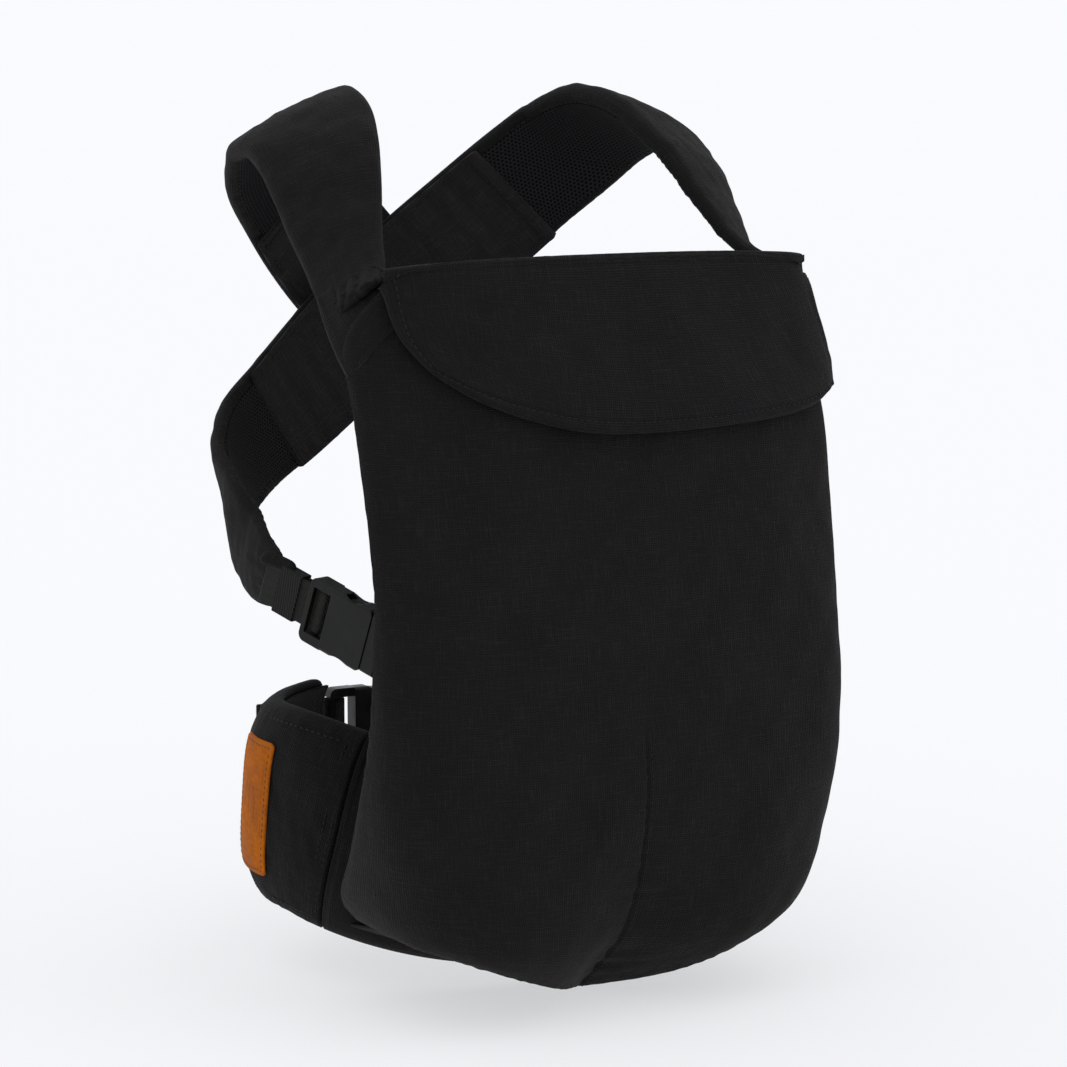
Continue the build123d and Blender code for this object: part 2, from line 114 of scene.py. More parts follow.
BELT_HALF_WIDTH, BELT_HALF_DEPTH, BELT_CENTRE_Y = 138.0, 100.0, -15.0
BELT_HEIGHT, BELT_END_HEIGHT, BELT_DIP, BELT_RISE = 118.0, 84.0, 29.0, 18.0
BELT_LEAN = math.radians(3)
BELT_BOW, BELT_CURL = 13.0, 4
BELT_SEAM_ANGLE, BELT_WING_ANGLE = 57.0, 158.0
BELT_PAD, BELT_MESH_DEPTH = 10.3, 2.9

# One strap from its seam on the panel's top corner (+X) over the shoulder and across the back to the other
# flank: the edge by the arm, the edge by the neck, foam thickness, and share of the crossing offset.
STRAP_STATIONS = [
    (147, -134, 277, 131, -148, 306, 2.5, 0),
    (147, -112, 292, 119, -136, 312, 3.5, 0),
    (145, -92, 309, 111, -120, 323, 5.0, 0),
    (147, -76, 328, 103, -105, 340, 6.0, 0),
    (148, -60, 347, 95, -89, 360, 7.0, 0),
    (148, -42, 362, 87, -70, 380, 8.0, 0),
    (147, -20, 371, 79, -46, 395, 8.0, 0),
    (144, 4, 369, 74, -18, 403, 8.0, 0),
    (136, 24, 357, 70, 10, 400, 7.5, 0.1),
    (125, 42, 340, 63, 34, 390, 7.0, 0.4),
    (104, 60, 319, 46, 55, 373, 6.0, 0.9),
    (78, 77, 291, 24, 73, 350, 5.0, 1.0),
    (50, 88, 263, -4, 86, 324, 4.5, 1.0),
    (19, 93, 238, -36, 91, 296, 4.0, 1.0),
    (-18, 89, 212, -70, 85, 266, 4.0, 1.0),
    (-54, 78, 191, -104, 71, 238, 4.5, 0.9),
    (-84, 61, 177, -130, 51, 219, 5.0, 0.3),
    (-111, 40, 162, -145, 28, 206, 5.0, 0),
    (-132, 16, 148, -151, 5, 195, 5.0, 0),
    (-146, -8, 136, -152, -16, 183, 4.5, 0),
    (-153, -30, 126, -150, -36, 169, 3.5, 0),
    (-157, -50, 120, -153, -57, 158, 3.0, 0),
    (-159, -69, 120, -155, -78, 149, 2.5, 0),
]
STRAP_CROSS_OFFSET, STRAP_BOW = 8.5, 3.0
SLEEVE_FIRST, SLEEVE_LAST = 10.2, 15.6

# Buckle planes: the webbing's way in at the ladder, the direction of the buckle, and its outward face.
SHOULDER_LADDER, SHOULDER_AXIS, SHOULDER_FACE = (-148, -104, 124), (0.35, -0.88, -0.32), (-0.929, -0.37, 0)
WAIST_LADDER, WAIST_AXIS, WAIST_FACE = (-40, 90, 12), (1, 0, 0), (0, -1, 0)
SHOULDER_LEAD, SHOULDER_TAIL_END = [(-36, 0)], -25
SHOULDER_TAB, SHOULDER_BAR = [(96, 0)], 64.5
WAIST_LEAD, WAIST_TAIL_END = [(-49.7, 26), (-31.8, 16.5), (-15, 0)], -46
WAIST_TAB, WAIST_BAR = [(129.7, 24), (111.8, 14.5), (88, 2)], 69.6
SHOULDER_WEB, WAIST_WEB, WEB_THICK = 25.0, 38.0, 1.5


def linear(colour):
    """An sRGB hex colour as the linear red, green, blue and alpha that a shader wants."""
    parts = [int(colour[i : i + 2], 16) / 255 for i in (1, 3, 5)]
    return tuple(c / 12.92 if c <= 0.04045 else ((c + 0.055) / 1.055) ** 2.4 for c in parts) + (1.0,)


def through(rows, count=None, at=None):
    """Catmull-Rom: at station s between rows b and c, half of 2b + (c-a)f + (2a-5b+4c-d)f^2 +
    (3b-a-3c+d)f^3."""
    rows = np.asarray(rows, float)
    ends = np.vstack([2 * rows[0] - rows[1], rows, 2 * rows[-1] - rows[-2]])
    s = np.linspace(0, len(rows) - 1, count) if at is None else np.asarray(at, float)
    i = np.minimum(s.astype(int), len(rows) - 2)
    f = (s - i)[:, None]
    a, b, c, d = ends[i], ends[i + 1], ends[i + 2], ends[i + 3]
    return 0.5 * (2 * b + (c - a) * f + (2 * a - 5 * b + 4 * c - d) * f**2 + (3 * b - a - 3 * c + d) * f**3)


def unit(v):
    v = np.asarray(v, float)
    return v / np.maximum(np.linalg.norm(v, axis=-1, keepdims=True), 1e-9)


def near_ends(count, close):
    """Even steps from 0 to 1 with a few more steps next to both ends, for a rounded rim."""
    extra = close * np.array([0.1, 0.3, 0.6, 1.0, 1.5])
    steps = np.concatenate([np.linspace(0, 1, count), extra, 1 - extra])
    return np.unique(np.round(steps, 6))


def ripple(u, v, seed, length, turn=(0.0, math.pi), waves=14):
    """Soft cloth waves: the mean of plane sine waves about one length long, in directions within one turn."""
    rng = np.random.default_rng(seed)
    total = np.zeros(np.broadcast(u, v).shape)
    for _ in range(waves):
        angle = rng.uniform(*turn)
        size = length * rng.uniform(0.6, 1.7)
        phase = rng.uniform(0, 2 * math.pi)
        total += np.sin(2 * math.pi * (u * math.cos(angle) + v * math.sin(angle)) / size + phase)
    return total / math.sqrt(waves)


def bump_at(x, centre, width):
    """A bell curve of height 1."""
    return np.exp(-(((x - centre) / width) ** 2))


# ---------------------------------------------------------------- meshes
def new_piece(name, points, faces, corner_uv, material, body, smooth=True):
    """Puts points in millimetres and quads into a mesh, turned so that its volume is positive,
    riding on a body."""
    mesh = bpy.data.meshes.new(name)
    points = np.asarray(points, float) * MM
    a, b, c, d = (points[faces[:, k]] for k in range(4))
    volume = np.einsum("ij,ij->i", a, np.cross(b, c)).sum() + np.einsum("ij,ij->i", a, np.cross(c, d)).sum()
    if volume < 0:
        faces = faces[:, ::-1]
        corner_uv = corner_uv[:, ::-1]
    mesh.vertices.add(len(points))
    mesh.vertices.foreach_set("co", points.ravel())
    mesh.loops.add(faces.size)
    mesh.loops.foreach_set("vertex_index", faces.ravel())
    mesh.polygons.add(len(faces))
    mesh.polygons.foreach_set("loop_start", np.arange(0, faces.size, 4))
    mesh.update(calc_edges=True)
    layer = mesh.uv_layers.new(name="cloth")
    layer.data.foreach_set("uv", np.ascontiguousarray(corner_uv * MM, dtype=np.float32).ravel())
    shut = bmesh.new()
    shut.from_mesh(mesh)
    bmesh.ops.remove_doubles(shut, verts=shut.verts, dist=2e-6)
    bmesh.ops.dissolve_degenerate(shut, edges=shut.edges, dist=1e-6)
    for face in shut.faces:
        face.smooth = smooth
    shut.to_mesh(mesh)
    shut.free()
    mesh.materials.append(material)
    piece = bpy.data.objects.new(name, mesh)
    bpy.context.scene.collection.objects.link(piece)
    if body is not None:
        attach(piece, body)
    return piece


def grid_faces(rows, columns, around):
    """Quads over a grid of points; around joins the last column to the first."""
    i, j = np.meshgrid(np.arange(rows - 1), np.arange(columns if around else columns - 1), indexing="ij")
    k = (j + 1) % columns
    row, below = i * columns, (i + 1) * columns
    quads = np.stack([row + j, row + k, below + k, below + j], axis=-1)
    return quads.reshape(-1, 4), i.ravel(), j.ravel()


def tube(name, loops, along, material, body):
    """A closed skin through rings of points: rings that have closed to a line or a point shut
    its two ends."""
    rows, columns = loops.shape[:2]
    faces, i, j = grid_faces(rows, columns, True)
    step = np.linalg.norm(np.roll(loops, -1, axis=1) - loops, axis=2)
    middle = step[rows // 4 : 3 * rows // 4 + 1].mean(axis=0)
    round_ = np.concatenate([[0], np.cumsum(middle)])
    here, there, left, right = along[i], along[i + 1], round_[j], round_[j + 1]
    corner = [(here, left), (here, right), (there, right), (there, left)]
    uv = np.stack([np.stack(pair, axis=-1) for pair in corner], axis=1)
    return new_piece(name, loops.reshape(-1, 3), faces, uv, material, body)


def pillow(name, front, back, u, v, material, body):
    """Two skins over one grid that meet round its rim."""
    rows, columns = front.shape[:2]
    faces, i, j = grid_faces(rows, columns, False)
    points = np.concatenate([front.reshape(-1, 3), back.reshape(-1, 3)])
    uv = np.stack([u, v], axis=-1)
    corners = np.stack([uv[i, j], uv[i, j + 1], uv[i + 1, j + 1], uv[i + 1, j]], axis=1)
    all_faces = np.concatenate([faces, faces[:, ::-1] + rows * columns])
    all_uv = np.concatenate([corners, corners[:, ::-1]])
    return new_piece(name, points, all_faces, all_uv, material, body)


def normals(grid):
    """Unit normals of a grid of points: its step down the rows crossed with its step across the columns."""
    return unit(np.cross(np.gradient(grid, axis=0), np.gradient(grid, axis=1)))


def lengths(grid):
    """Distance along the grid's middle row and middle column, spread over the whole grid."""
    over = np.linalg.norm(np.diff(grid, axis=1), axis=2).mean(axis=0)
    down = np.linalg.norm(np.diff(grid, axis=0), axis=2).mean(axis=1)
    u = np.concatenate([[0], np.cumsum(over)])
    v = np.concatenate([[0], np.cumsum(down)])
    return np.broadcast_arrays(u[None, :], v[:, None])


def rim_round(distance, radius):
    """How far a face has sunk at a distance from the rim: a quarter circle, 1 at the rim and 0
    past the radius."""
    t = np.clip(1 - distance / radius, 0, 1)
    return 1 - np.sqrt(np.clip(1 - t**2, 0, 1))


def rim_distance(u, v):
    """Distance of each grid point from the nearest of the grid's four sides."""
    return np.minimum(np.minimum(u, u.max() - u), np.minimum(v, v.max() - v))


def stitches(name, paths, body, material, length=3.0, gap=1.1, radius=0.42):
    """Rows of thread: at even steps along each path, a small closed spindle that sinks into the
    cloth at its ends."""
    ring, lathe = 6, np.array([0.0, 0.75, 1.0, 1.0, 0.75, 0.0])
    place = np.array([-1.0, -0.86, -0.4, 0.4, 0.86, 1.0])
    angle = np.arange(ring) * 2 * math.pi / ring
    x = np.repeat(place, ring) * length / 2
    y = np.outer(lathe, np.cos(angle)).ravel() * radius
    z = np.outer(lathe, np.sin(angle)).ravel() * radius * 0.9 - 0.25 * np.repeat(place, ring) ** 2
    faces, _, _ = grid_faces(len(place), ring, True)
    points, quads, made = [], [], 0
    for spots, outward in paths:
        run = np.concatenate([[0], np.cumsum(np.linalg.norm(np.diff(spots, axis=0), axis=1))])
        middles = np.arange(length / 2 + 0.5, run[-1] - length / 2, length + gap)
        centre = np.stack([np.interp(middles, run, spots[:, k]) for k in range(3)], axis=1)
        ahead = np.stack([np.interp(middles + 0.5, run, spots[:, k]) for k in range(3)], axis=1)
        up = np.stack([np.interp(middles, run, outward[:, k]) for k in range(3)], axis=1)
        t = unit(ahead - centre)
        side = unit(np.cross(up, t))
        up = np.cross(t, side)
        cloud = centre[:, None] + x[None, :, None] * t[:, None] + y[None, :, None] * side[:, None]
        cloud = cloud + z[None, :, None] * up[:, None]
        quads.append((faces[None] + (made + np.arange(len(middles)) * len(x))[:, None, None]).reshape(-1, 4))
        points.append(cloud.reshape(-1, 3))
        made += len(middles) * len(x)
    faces = np.concatenate(quads)
    uv = np.zeros((len(faces), 4, 2))
    return new_piece(name, np.concatenate(points), faces, uv, material, body)


# ---------------------------------------------------------------- padded bands: straps and belt
def band_ring(flat, corner):
    """One ring of a padded band: how far along the flat across it, then the circle's sideways
    and upward parts."""
    line = np.linspace(-1, 1, flat)
    turn = np.linspace(math.pi / 2, -math.pi / 2, corner + 2)[1:-1]
    share = np.concatenate([line, np.ones(corner), -line, -np.ones(corner)])
    sideways = np.concatenate([0 * line, np.cos(turn), 0 * line, -np.cos(turn)])
    upward = np.concatenate([0 * line + 1, np.sin(turn), 0 * line - 1, np.sin(turn[::-1])])
    return share, sideways, upward


class Band:
    """A band of cloth in space: its middle line, across and outward directions, half widths and
    length so far."""

    def __init__(self, middles, across, half, outward_sign, bow, curl):
        self.middle, self.half, self.bow, self.curl = middles, half, bow, curl
        step = np.linalg.norm(np.diff(middles, axis=0), axis=1)
        self.run = np.concatenate([[0], np.cumsum(step)])
        along = unit(np.gradient(middles, axis=0, edge_order=2))
        self.across = unit(across - (across * along).sum(1)[:, None] * along)
        self.outward = outward_sign * np.cross(along, self.across)

    def part(self, first, last):
        """The same band between two stations."""
        made = object.__new__(Band)
        made.bow, made.curl = self.bow, self.curl
        for key in ("middle", "half", "run", "across", "outward"):
            setattr(made, key, getattr(self, key)[first:last])
        return made

    def points(self, sideways, height):
        """The point at a distance sideways and a height, less the bow times the share of the
        width to the curl."""
        share = np.abs(sideways) / self.half[:, None]
        lift = height - self.bow * np.minimum(share, 1.05) ** self.curl
        spots = self.middle[:, None] + sideways[:, :, None] * self.across[:, None]
        return spots + lift[:, :, None] * self.outward[:, None]

    def pad(
        self, low, high, inset=0.0, crown=0.0, wrinkle=None, flat=31, corner=7, ends=(1.2, 1.2), taper=None
    ):
        """Rings of a padded section between two heights, round at both edges and, where asked,
        at both ends."""
        share, sideways, upward = band_ring(flat, corner)
        count = len(self.middle)
        radius = np.broadcast_to((high - low) / 2, count).astype(float)
        middle = np.broadcast_to((high + low) / 2, count)
        half = self.half - inset
        if taper is not None:
            half = half * taper
        reach = self.run - self.run[0]
        shut = np.ones(count)
        for near, wanted in ((reach, ends[0]), (reach[-1] - reach, ends[1])):
            shut = np.minimum(shut, 1 - rim_round(near, radius * wanted))
        edge = np.minimum(radius, np.maximum(half, 0.01))
        x = share[None] * (half - edge)[:, None] + sideways[None] * (edge * shut)[:, None]
        swell = crown * (1 - share[None] ** 2) * np.sign(upward)[None] * shut[:, None]
        swell = swell * (np.abs(upward) > 0.5)[None]
        h = middle[:, None] + upward[None] * (radius * shut)[:, None] + swell
        if wrinkle is not None:
            h = h + wrinkle(reach[:, None], x, upward[None]) * shut[:, None]
        return self.points(x, h)

    def line(self, sideways, height, first=0, last=None):
        """A path along the band on its outer face, with the way out, for stitching."""
        sideways = np.broadcast_to(np.asarray(sideways, float), len(self.middle))[:, None]
        height = np.broadcast_to(np.asarray(height, float), len(self.middle))[:, None]
        return self.points(sideways, height)[first:last, 0], self.outward[first:last]


def belt_band(side, first_angle, last_angle, count):
    """The belt: an ellipse round the waist that dips at the front, leans in, and narrows past the flank."""
    angles = np.radians(first_angle + (last_angle - first_angle) * near_ends(count, 0.02))
    turn = np.abs(angles) / math.pi
    x = side * BELT_HALF_WIDTH * np.sin(angles)
    y = BELT_CENTRE_Y - BELT_HALF_DEPTH * np.cos(angles)
    dip = BELT_DIP * 0.5 * (1 + np.cos(math.pi * np.clip(turn / 0.5, 0, 1)))
    taper = np.clip((turn - 0.5) / (BELT_WING_ANGLE / 180 - 0.5), 0, 1) ** 1.6
    half = 0.5 * (BELT_HEIGHT - (BELT_HEIGHT - BELT_END_HEIGHT) * taper)
    z = -6 - dip + BELT_RISE * taper
    inward = np.column_stack([-x / BELT_HALF_WIDTH, (BELT_CENTRE_Y - y) / BELT_HALF_DEPTH, 0 * z])
    across = math.sin(BELT_LEAN) * inward + np.array([0, 0, math.cos(BELT_LEAN)])
    return Band(np.column_stack([x, y, z]), across, half, side, BELT_BOW, BELT_CURL)


STRAP_DENSITY = 14  # sections between two stations


def strap_band(side, lift):
    """The strap that starts on one side, and its foam thickness; lift moves it off the other
    where they cross."""
    rows = through(STRAP_STATIONS, (len(STRAP_STATIONS) - 1) * STRAP_DENSITY + 1)
    arm, neck = rows[:, 0:3], rows[:, 3:6]
    middles = (arm + neck) / 2
    middles[:, 1] += rows[:, 7] * lift
    across = neck - arm
    half = np.linalg.norm(across, axis=1) / 2
    middles[:, 0] *= side
    across[:, 0] *= side
    return Band(middles, across, half, side, STRAP_BOW, 2), rows[:, 6]


# ---------------------------------------------------------------- panel surfaces
def panel_surface(rows, shares):
    """Each row: a superellipse from edge to edge, y = ye + (yc - ye)(1 - |X|^p)^(1/p), less the
    dart's valley."""
    yc, zc, half, ye, ze, power, valley, fall = (rows[:, k][:, None] for k in range(8))
    share = shares[None, :]
    x = half * share
    reach = np.clip(1 - np.abs(share) ** power, 0, 1) ** (1 / power)
    y = ye + (yc - ye) * reach + valley * np.exp(-((np.abs(x) / DART_HALF_WIDTH) ** 1.3))
    z = ze + (zc - ze) * ((1 - fall) * reach + fall * (1 - np.abs(share)))
    return np.stack([x, y, z], axis=-1)


def panel_shares(count):
    """Places across the panel: close together at both edges and along the dart."""
    even = np.sin(math.pi / 2 * np.linspace(-1, 1, count))
    dart = np.array([-3.0, -1.8, -1.0, -0.4, 0.4, 1.0, 1.8, 3.0]) / 149
    return np.unique(np.round(np.concatenate([even, dart]), 6))


def panel_grid():
    """The panel's front face, and the way out of it."""
    stations = near_ends(150, 0.012) * (len(PANEL_ROWS) - 1)
    grid = panel_surface(through(PANEL_ROWS, at=stations), panel_shares(171))
    return grid, normals(grid)


FOLD_DROP = 14.0  # how far the fold's cloth runs down the panel's back


def headrest_grid():
    """The folded flap: a patch blended from its four outline curves, laid on the panel's own surface."""
    a, b = near_ends(120, 0.012), near_ends(64, 0.025)
    top = np.linspace([-132, 312], [132, 312], len(a))
    top[:, 0] = -132 + 264 * a
    foot = through(HEADREST_OUTLINE, at=1.6 + 4.8 * a)
    left = through(HEADREST_OUTLINE, at=1.6 * b)
    right = through(HEADREST_OUTLINE, at=8 - 1.6 * b)
    a2, b2 = a[None, :, None], b[:, None, None]
    flat = (1 - b2) * top[None] + b2 * foot[None] + (1 - a2) * left[:, None] + a2 * right[:, None]
    corners = (1 - a2) * (1 - b2) * top[0] + a2 * (1 - b2) * top[-1]
    flat -= corners + (1 - a2) * b2 * foot[0] + a2 * b2 * foot[-1]
    rows = through([HEADREST_TOP_ROW, *PANEL_ROWS[0:4]], 60)
    x, z = flat[..., 0], flat[..., 1]
    yc, half, ye, power = (np.interp(-z, -rows[:, 1], rows[:, k]) for k in (0, 2, 3, 5))
    reach = np.clip(1 - np.clip(np.abs(x) / half, 0, 0.998) ** power, 0, 1) ** (1 / power)
    grid = np.stack([x, ye + (yc - ye) * reach, z], axis=-1)
    return grid, normals(grid)


# ---------------------------------------------------------------- materials
def node(tree, kind, settings=None, **inputs):
    """Adds one node, sets its properties, and feeds its inputs with sockets or plain values;
    i0, i1 count inputs."""
    made = tree.nodes.new(kind)
    for key, value in (settings or {}).items():
        setattr(made, key, value)
    for key, value in inputs.items():
        counted = key[0] == "i" and key[1:].isdigit()
        socket = made.inputs[int(key[1:]) if counted else key.replace("_", " ")]
        if isinstance(value, bpy.types.NodeSocket):
            tree.links.new(value, socket)
        else:
            socket.default_value = value
    return made


def maths(tree, a, b, operation="ADD"):
    return node(tree, "ShaderNodeMath", {"operation": operation}, i0=a, i1=b).outputs[0]


def vector_maths(tree, operation, **inputs):
    return node(tree, "ShaderNodeVectorMath", {"operation": operation}, **inputs)


def ramp(tree, factor, low, high):
    """Factor from low to high becomes 0 to 1, held at both ends."""
    return node(tree, "ShaderNodeMapRange", None, Value=factor, From_Min=low, From_Max=high).outputs[0]


def mix(tree, factor, a, b):
    return node(tree, "ShaderNodeMix", {"data_type": "RGBA"}, i0=factor, i6=a, i7=b).outputs[2]


def scaled(tree, coordinate, x, y, z=1.0):
    return node(tree, "ShaderNodeMapping", None, Vector=coordinate, Scale=(x, y, z)).outputs[0]


def noise(tree, coordinate, scale, detail=2.0, roughness=0.5):
    sizes_of = {"Scale": scale, "Detail": detail, "Roughness": roughness}
    return node(tree, "ShaderNodeTexNoise", None, Vector=coordinate, **sizes_of).outputs[0]


def waves(tree, coordinate, period, direction, distortion=0.0, detail_scale=1.0):
    """Ribs of one period in metres: Blender's bands repeat every 2 pi / (20 scale)."""
    settings = {"wave_type": "BANDS", "bands_direction": direction, "wave_profile": "SIN"}
    inputs = {"Vector": coordinate, "Scale": 2 * math.pi / (20 * period), "Distortion": distortion}
    inputs |= {"Detail": 1.0, "Detail_Scale": detail_scale}
    return node(tree, "ShaderNodeTexWave", settings, **inputs).outputs["Fac"]


def start(name):
    """A new material with its shader, and the tree to build in."""
    material = bpy.data.materials.new(name)
    material.use_nodes = True
    tree = material.node_tree
    shader = tree.nodes["Principled BSDF"]
    return material, tree, shader


def finish_material(tree, shader, colour, roughness, height, depth, strength=1.0, normal=None):
    """Links colour, roughness and a bump whose full height is a depth in metres."""
    tree.links.new(colour, shader.inputs["Base Color"])
    if isinstance(roughness, bpy.types.NodeSocket):
        tree.links.new(roughness, shader.inputs["Roughness"])
    else:
        shader.inputs["Roughness"].default_value = roughness
    bump = node(tree, "ShaderNodeBump", None, Height=height, Distance=depth, Strength=strength)
    if normal is not None:
        tree.links.new(normal, bump.inputs["Normal"])
    tree.links.new(bump.outputs[0], shader.inputs["Normal"])


def cloth_coordinates(tree):
    return node(tree, "ShaderNodeUVMap", {"uv_map": "cloth"}).outputs[0]


def slub_linen(name, dark, light, thread=1.25):
    """Woven slub linen, piece dyed: threads of uneven thickness give short light streaks both
    ways, and a dry matt face with a faint fuzz at grazing angles. The thread is drawn at 1.25
    mm, near twice its real 0.7 mm, to show."""
    material, tree, shader = start(name)
    uv = cloth_coordinates(tree)
    warp = waves(tree, uv, thread * MM, "X", 3.0, 0.6)
    weft = waves(tree, uv, thread * MM, "Y", 3.0, 0.6)
    weave = maths(tree, warp, weft, "MULTIPLY")
    slub_along = ramp(tree, noise(tree, scaled(tree, uv, 70, 900), 1.0, 1.0), 0.52, 0.78)
    slub_over = ramp(tree, noise(tree, scaled(tree, uv, 900, 70), 1.0, 1.0), 0.52, 0.78)
    slub = maths(tree, slub_along, slub_over)
    cloud = noise(tree, uv, 28.0, 3.0)
    # Partly painted shade and light: the weave's share darkens the gaps between threads and lightens their
    # crowns; the slub streaks and the cloud are the linen's own uneven tone.
    tone = maths(tree, maths(tree, weave, 0.45, "MULTIPLY"), maths(tree, slub, 0.24, "MULTIPLY"))
    tone = maths(tree, tone, maths(tree, cloud, 0.25, "MULTIPLY"))
    colour = mix(tree, ramp(tree, tone, 0.1, 0.85), dark, light)
    height = maths(tree, weave, maths(tree, slub, 0.8, "MULTIPLY"))
    finish_material(tree, shader, colour, 0.82, height, 0.00032)
    shader.inputs["Specular IOR Level"].default_value = 0.08
    shader.inputs["Sheen Weight"].default_value = 0.03
    shader.inputs["Sheen Roughness"].default_value = 0.5
    return material


def cotton_lining():
    """Plain woven cotton: fine, even and flat, so the lining looks smoother and duller than the linen."""
    material, tree, shader = start("cotton_lining")
    uv = cloth_coordinates(tree)
    weave = maths(tree, waves(tree, uv, 1.1 * MM, "X", 0.6), waves(tree, uv, 1.1 * MM, "Y", 0.6), "MULTIPLY")
    cloud = noise(tree, uv, 40.0)
    # Partly painted shade and light: the weave darkens the gaps between threads and lightens their crowns; the
    # cloud is the cotton's own uneven tone.
    tone = maths(tree, maths(tree, weave, 0.5, "MULTIPLY"), maths(tree, cloud, 0.5, "MULTIPLY"))
    colour = mix(tree, tone, colours().lining_dark, colours().lining_light)
    finish_material(tree, shader, colour, 0.88, weave, 0.00015)
    shader.inputs["Specular IOR Level"].default_value = 0.2
    shader.inputs["Sheen Weight"].default_value = 0.12
    return material


def spacer_mesh():
    """Knitted 3-D spacer mesh: round holes 2.6 mm apart in offset rows, painted near black inside as shade, with
    rounded ribs.
    """
    material, tree, shader = start("spacer_mesh")
    uv = cloth_coordinates(tree)
    pitch = sizes().mesh_pitch
    grid = scaled(tree, uv, 1 / pitch, 1 / (pitch * math.sqrt(3)))
    gaps = []
    for shift in (0.0, 0.5):
        moved = vector_maths(tree, "ADD", i0=grid, i1=(shift, shift, 0)).outputs[0]
        cell = vector_maths(tree, "FRACTION", i0=moved).outputs[0]
        centred = vector_maths(tree, "SUBTRACT", i0=cell, i1=(0.5, 0.5, 0)).outputs[0]
        square = scaled(tree, centred, 1, math.sqrt(3), 0)
        gaps.append(vector_maths(tree, "LENGTH", i0=square).outputs["Value"])
    nearest = maths(tree, gaps[0], gaps[1], "MINIMUM")
    rib = ramp(tree, nearest, 0.24, 0.38)
    knit = waves(tree, uv, 0.8 * MM, "X", 1.5)
    # Painted shade: the holes take the near-black colour, and the knit's grooves darken the ribs a little.
    tone = maths(tree, rib, ramp(tree, knit, -1.5, 1.0), "MULTIPLY")
    colour = mix(tree, tone, colours().mesh_painted_shade, colours().mesh_light)
    finish_material(tree, shader, colour, 0.7, rib, 0.0007)
    shader.inputs["Specular IOR Level"].default_value = 0.08
    return material


def woven_webbing():
    """Woven polypropylene webbing: a herringbone of close ribs with a slight shine, a little
    lighter than the cloth."""
    material, tree, shader = start("woven_webbing")
    uv = cloth_coordinates(tree)
    parts = node(tree, "ShaderNodeSeparateXYZ", None, Vector=uv)
    column = maths(tree, parts.outputs[1], 1 / (5.0 * MM), "MULTIPLY")
    zigzag = node(tree, "ShaderNodeMath", {"operation": "PINGPONG"}, i0=column, i1=0.5).outputs[0]
    slant = maths(tree, parts.outputs[0], maths(tree, zigzag, 5.0 * MM, "MULTIPLY"))
    twisted = node(tree, "ShaderNodeCombineXYZ", None, X=slant, Y=parts.outputs[1]).outputs[0]
    ribs = waves(tree, twisted, 1.5 * MM, "X", 0.3)
    yarn = waves(tree, twisted, 1.25 * MM, "Y", 0.3)
    weave = maths(tree, ribs, maths(tree, yarn, 0.4, "MULTIPLY"))
    fuzz = noise(tree, uv, 200.0)
    # Partly painted shade and light: the weave darkens the webbing between its ribs and lightens their crowns;
    # the fuzz is the yarn's own uneven tone.
    tone = maths(tree, maths(tree, weave, 0.5, "MULTIPLY"), maths(tree, fuzz, 0.3, "MULTIPLY"))
    colour = mix(tree, tone, colours().webbing_dark, colours().webbing_light)
    finish_material(tree, shader, colour, 0.55, weave, 0.0003)
    shader.inputs["Specular IOR Level"].default_value = 0.12
    return material


def ribbed_elastic():
    """Knitted elastic band: rubber cores show as narrow ribs round the webbing, in a dull textured yarn."""
    material, tree, shader = start("ribbed_elastic")
    place = node(tree, "ShaderNodeTexCoord").outputs["Object"]
    slant = (0, math.radians(20), math.radians(68))
    turned = node(tree, "ShaderNodeMapping", None, Vector=place, Rotation=slant).outputs[0]
    ribs = waves(tree, turned, 1.3 * MM, "X", 0.2)
    # Painted shade and light: the colour is darker between the ribs and lighter on them.
    colour = mix(tree, ribs, colours().elastic_dark, colours().elastic_light)
    finish_material(tree, shader, colour, 0.75, ribs, 0.0003)
    shader.inputs["Specular IOR Level"].default_value = 0.1
    return material


def tanned_leather():
    """Vegetable-tanned cowhide, dyed tan: a fine pebbled grain, cloudy colour, darker burnished
    patches here and there, soft shine."""
    material, tree, shader = start("tanned_cowhide")
    uv = cloth_coordinates(tree)
    place = node(tree, "ShaderNodeTexCoord").outputs["Object"]
    pebbles = node(tree, "ShaderNodeTexVoronoi", {"feature": "SMOOTH_F1"}, Vector=place, Scale=900.0)
    grain = pebbles.outputs["Distance"]
    cloud = noise(tree, place, 55.0, 5.0, 0.6)
    streak = noise(tree, scaled(tree, uv, 120, 500), 1.0, 3.0)
    tone = maths(tree, maths(tree, cloud, 0.75, "MULTIPLY"), maths(tree, streak, 0.4, "MULTIPLY"))
    colour = mix(tree, ramp(tree, tone, 0.35, 0.8), colours().leather_dark, colours().leather_light)
    worn = ramp(tree, noise(tree, place, 300.0, 2.0), 0.3, 0.7)
    colour = mix(tree, maths(tree, worn, 0.25, "MULTIPLY"), colour, colours().leather_worn)
    finish_material(tree, shader, colour, ramp(tree, cloud, -0.9, 1.2), grain, 0.00022)
    shader.inputs["Specular IOR Level"].default_value = 0.1
    return material


def moulded_acetal():
    """Injection-moulded acetal: a satin face from a fine spark texture, with rounded edges that
    catch the light."""
    material, tree, shader = start("moulded_acetal")
    place = node(tree, "ShaderNodeTexCoord").outputs["Object"]
    grit = noise(tree, place, 2400.0, 3.0)
    scuff = noise(tree, place, 90.0, 5.0, 0.7)
    colour = mix(tree, ramp(tree, scuff, 0.35, 0.75), colours().acetal_dark, colours().acetal_light)
    edge = node(tree, "ShaderNodeBevel", {"samples": 6}, Radius=0.0007).outputs[0]
    finish_material(tree, shader, colour, ramp(tree, scuff, -0.35, 2.0), grit, 0.00006, 0.6, edge)
    shader.inputs["IOR"].default_value = 1.48
    shader.inputs["Specular IOR Level"].default_value = 0.2
    return material


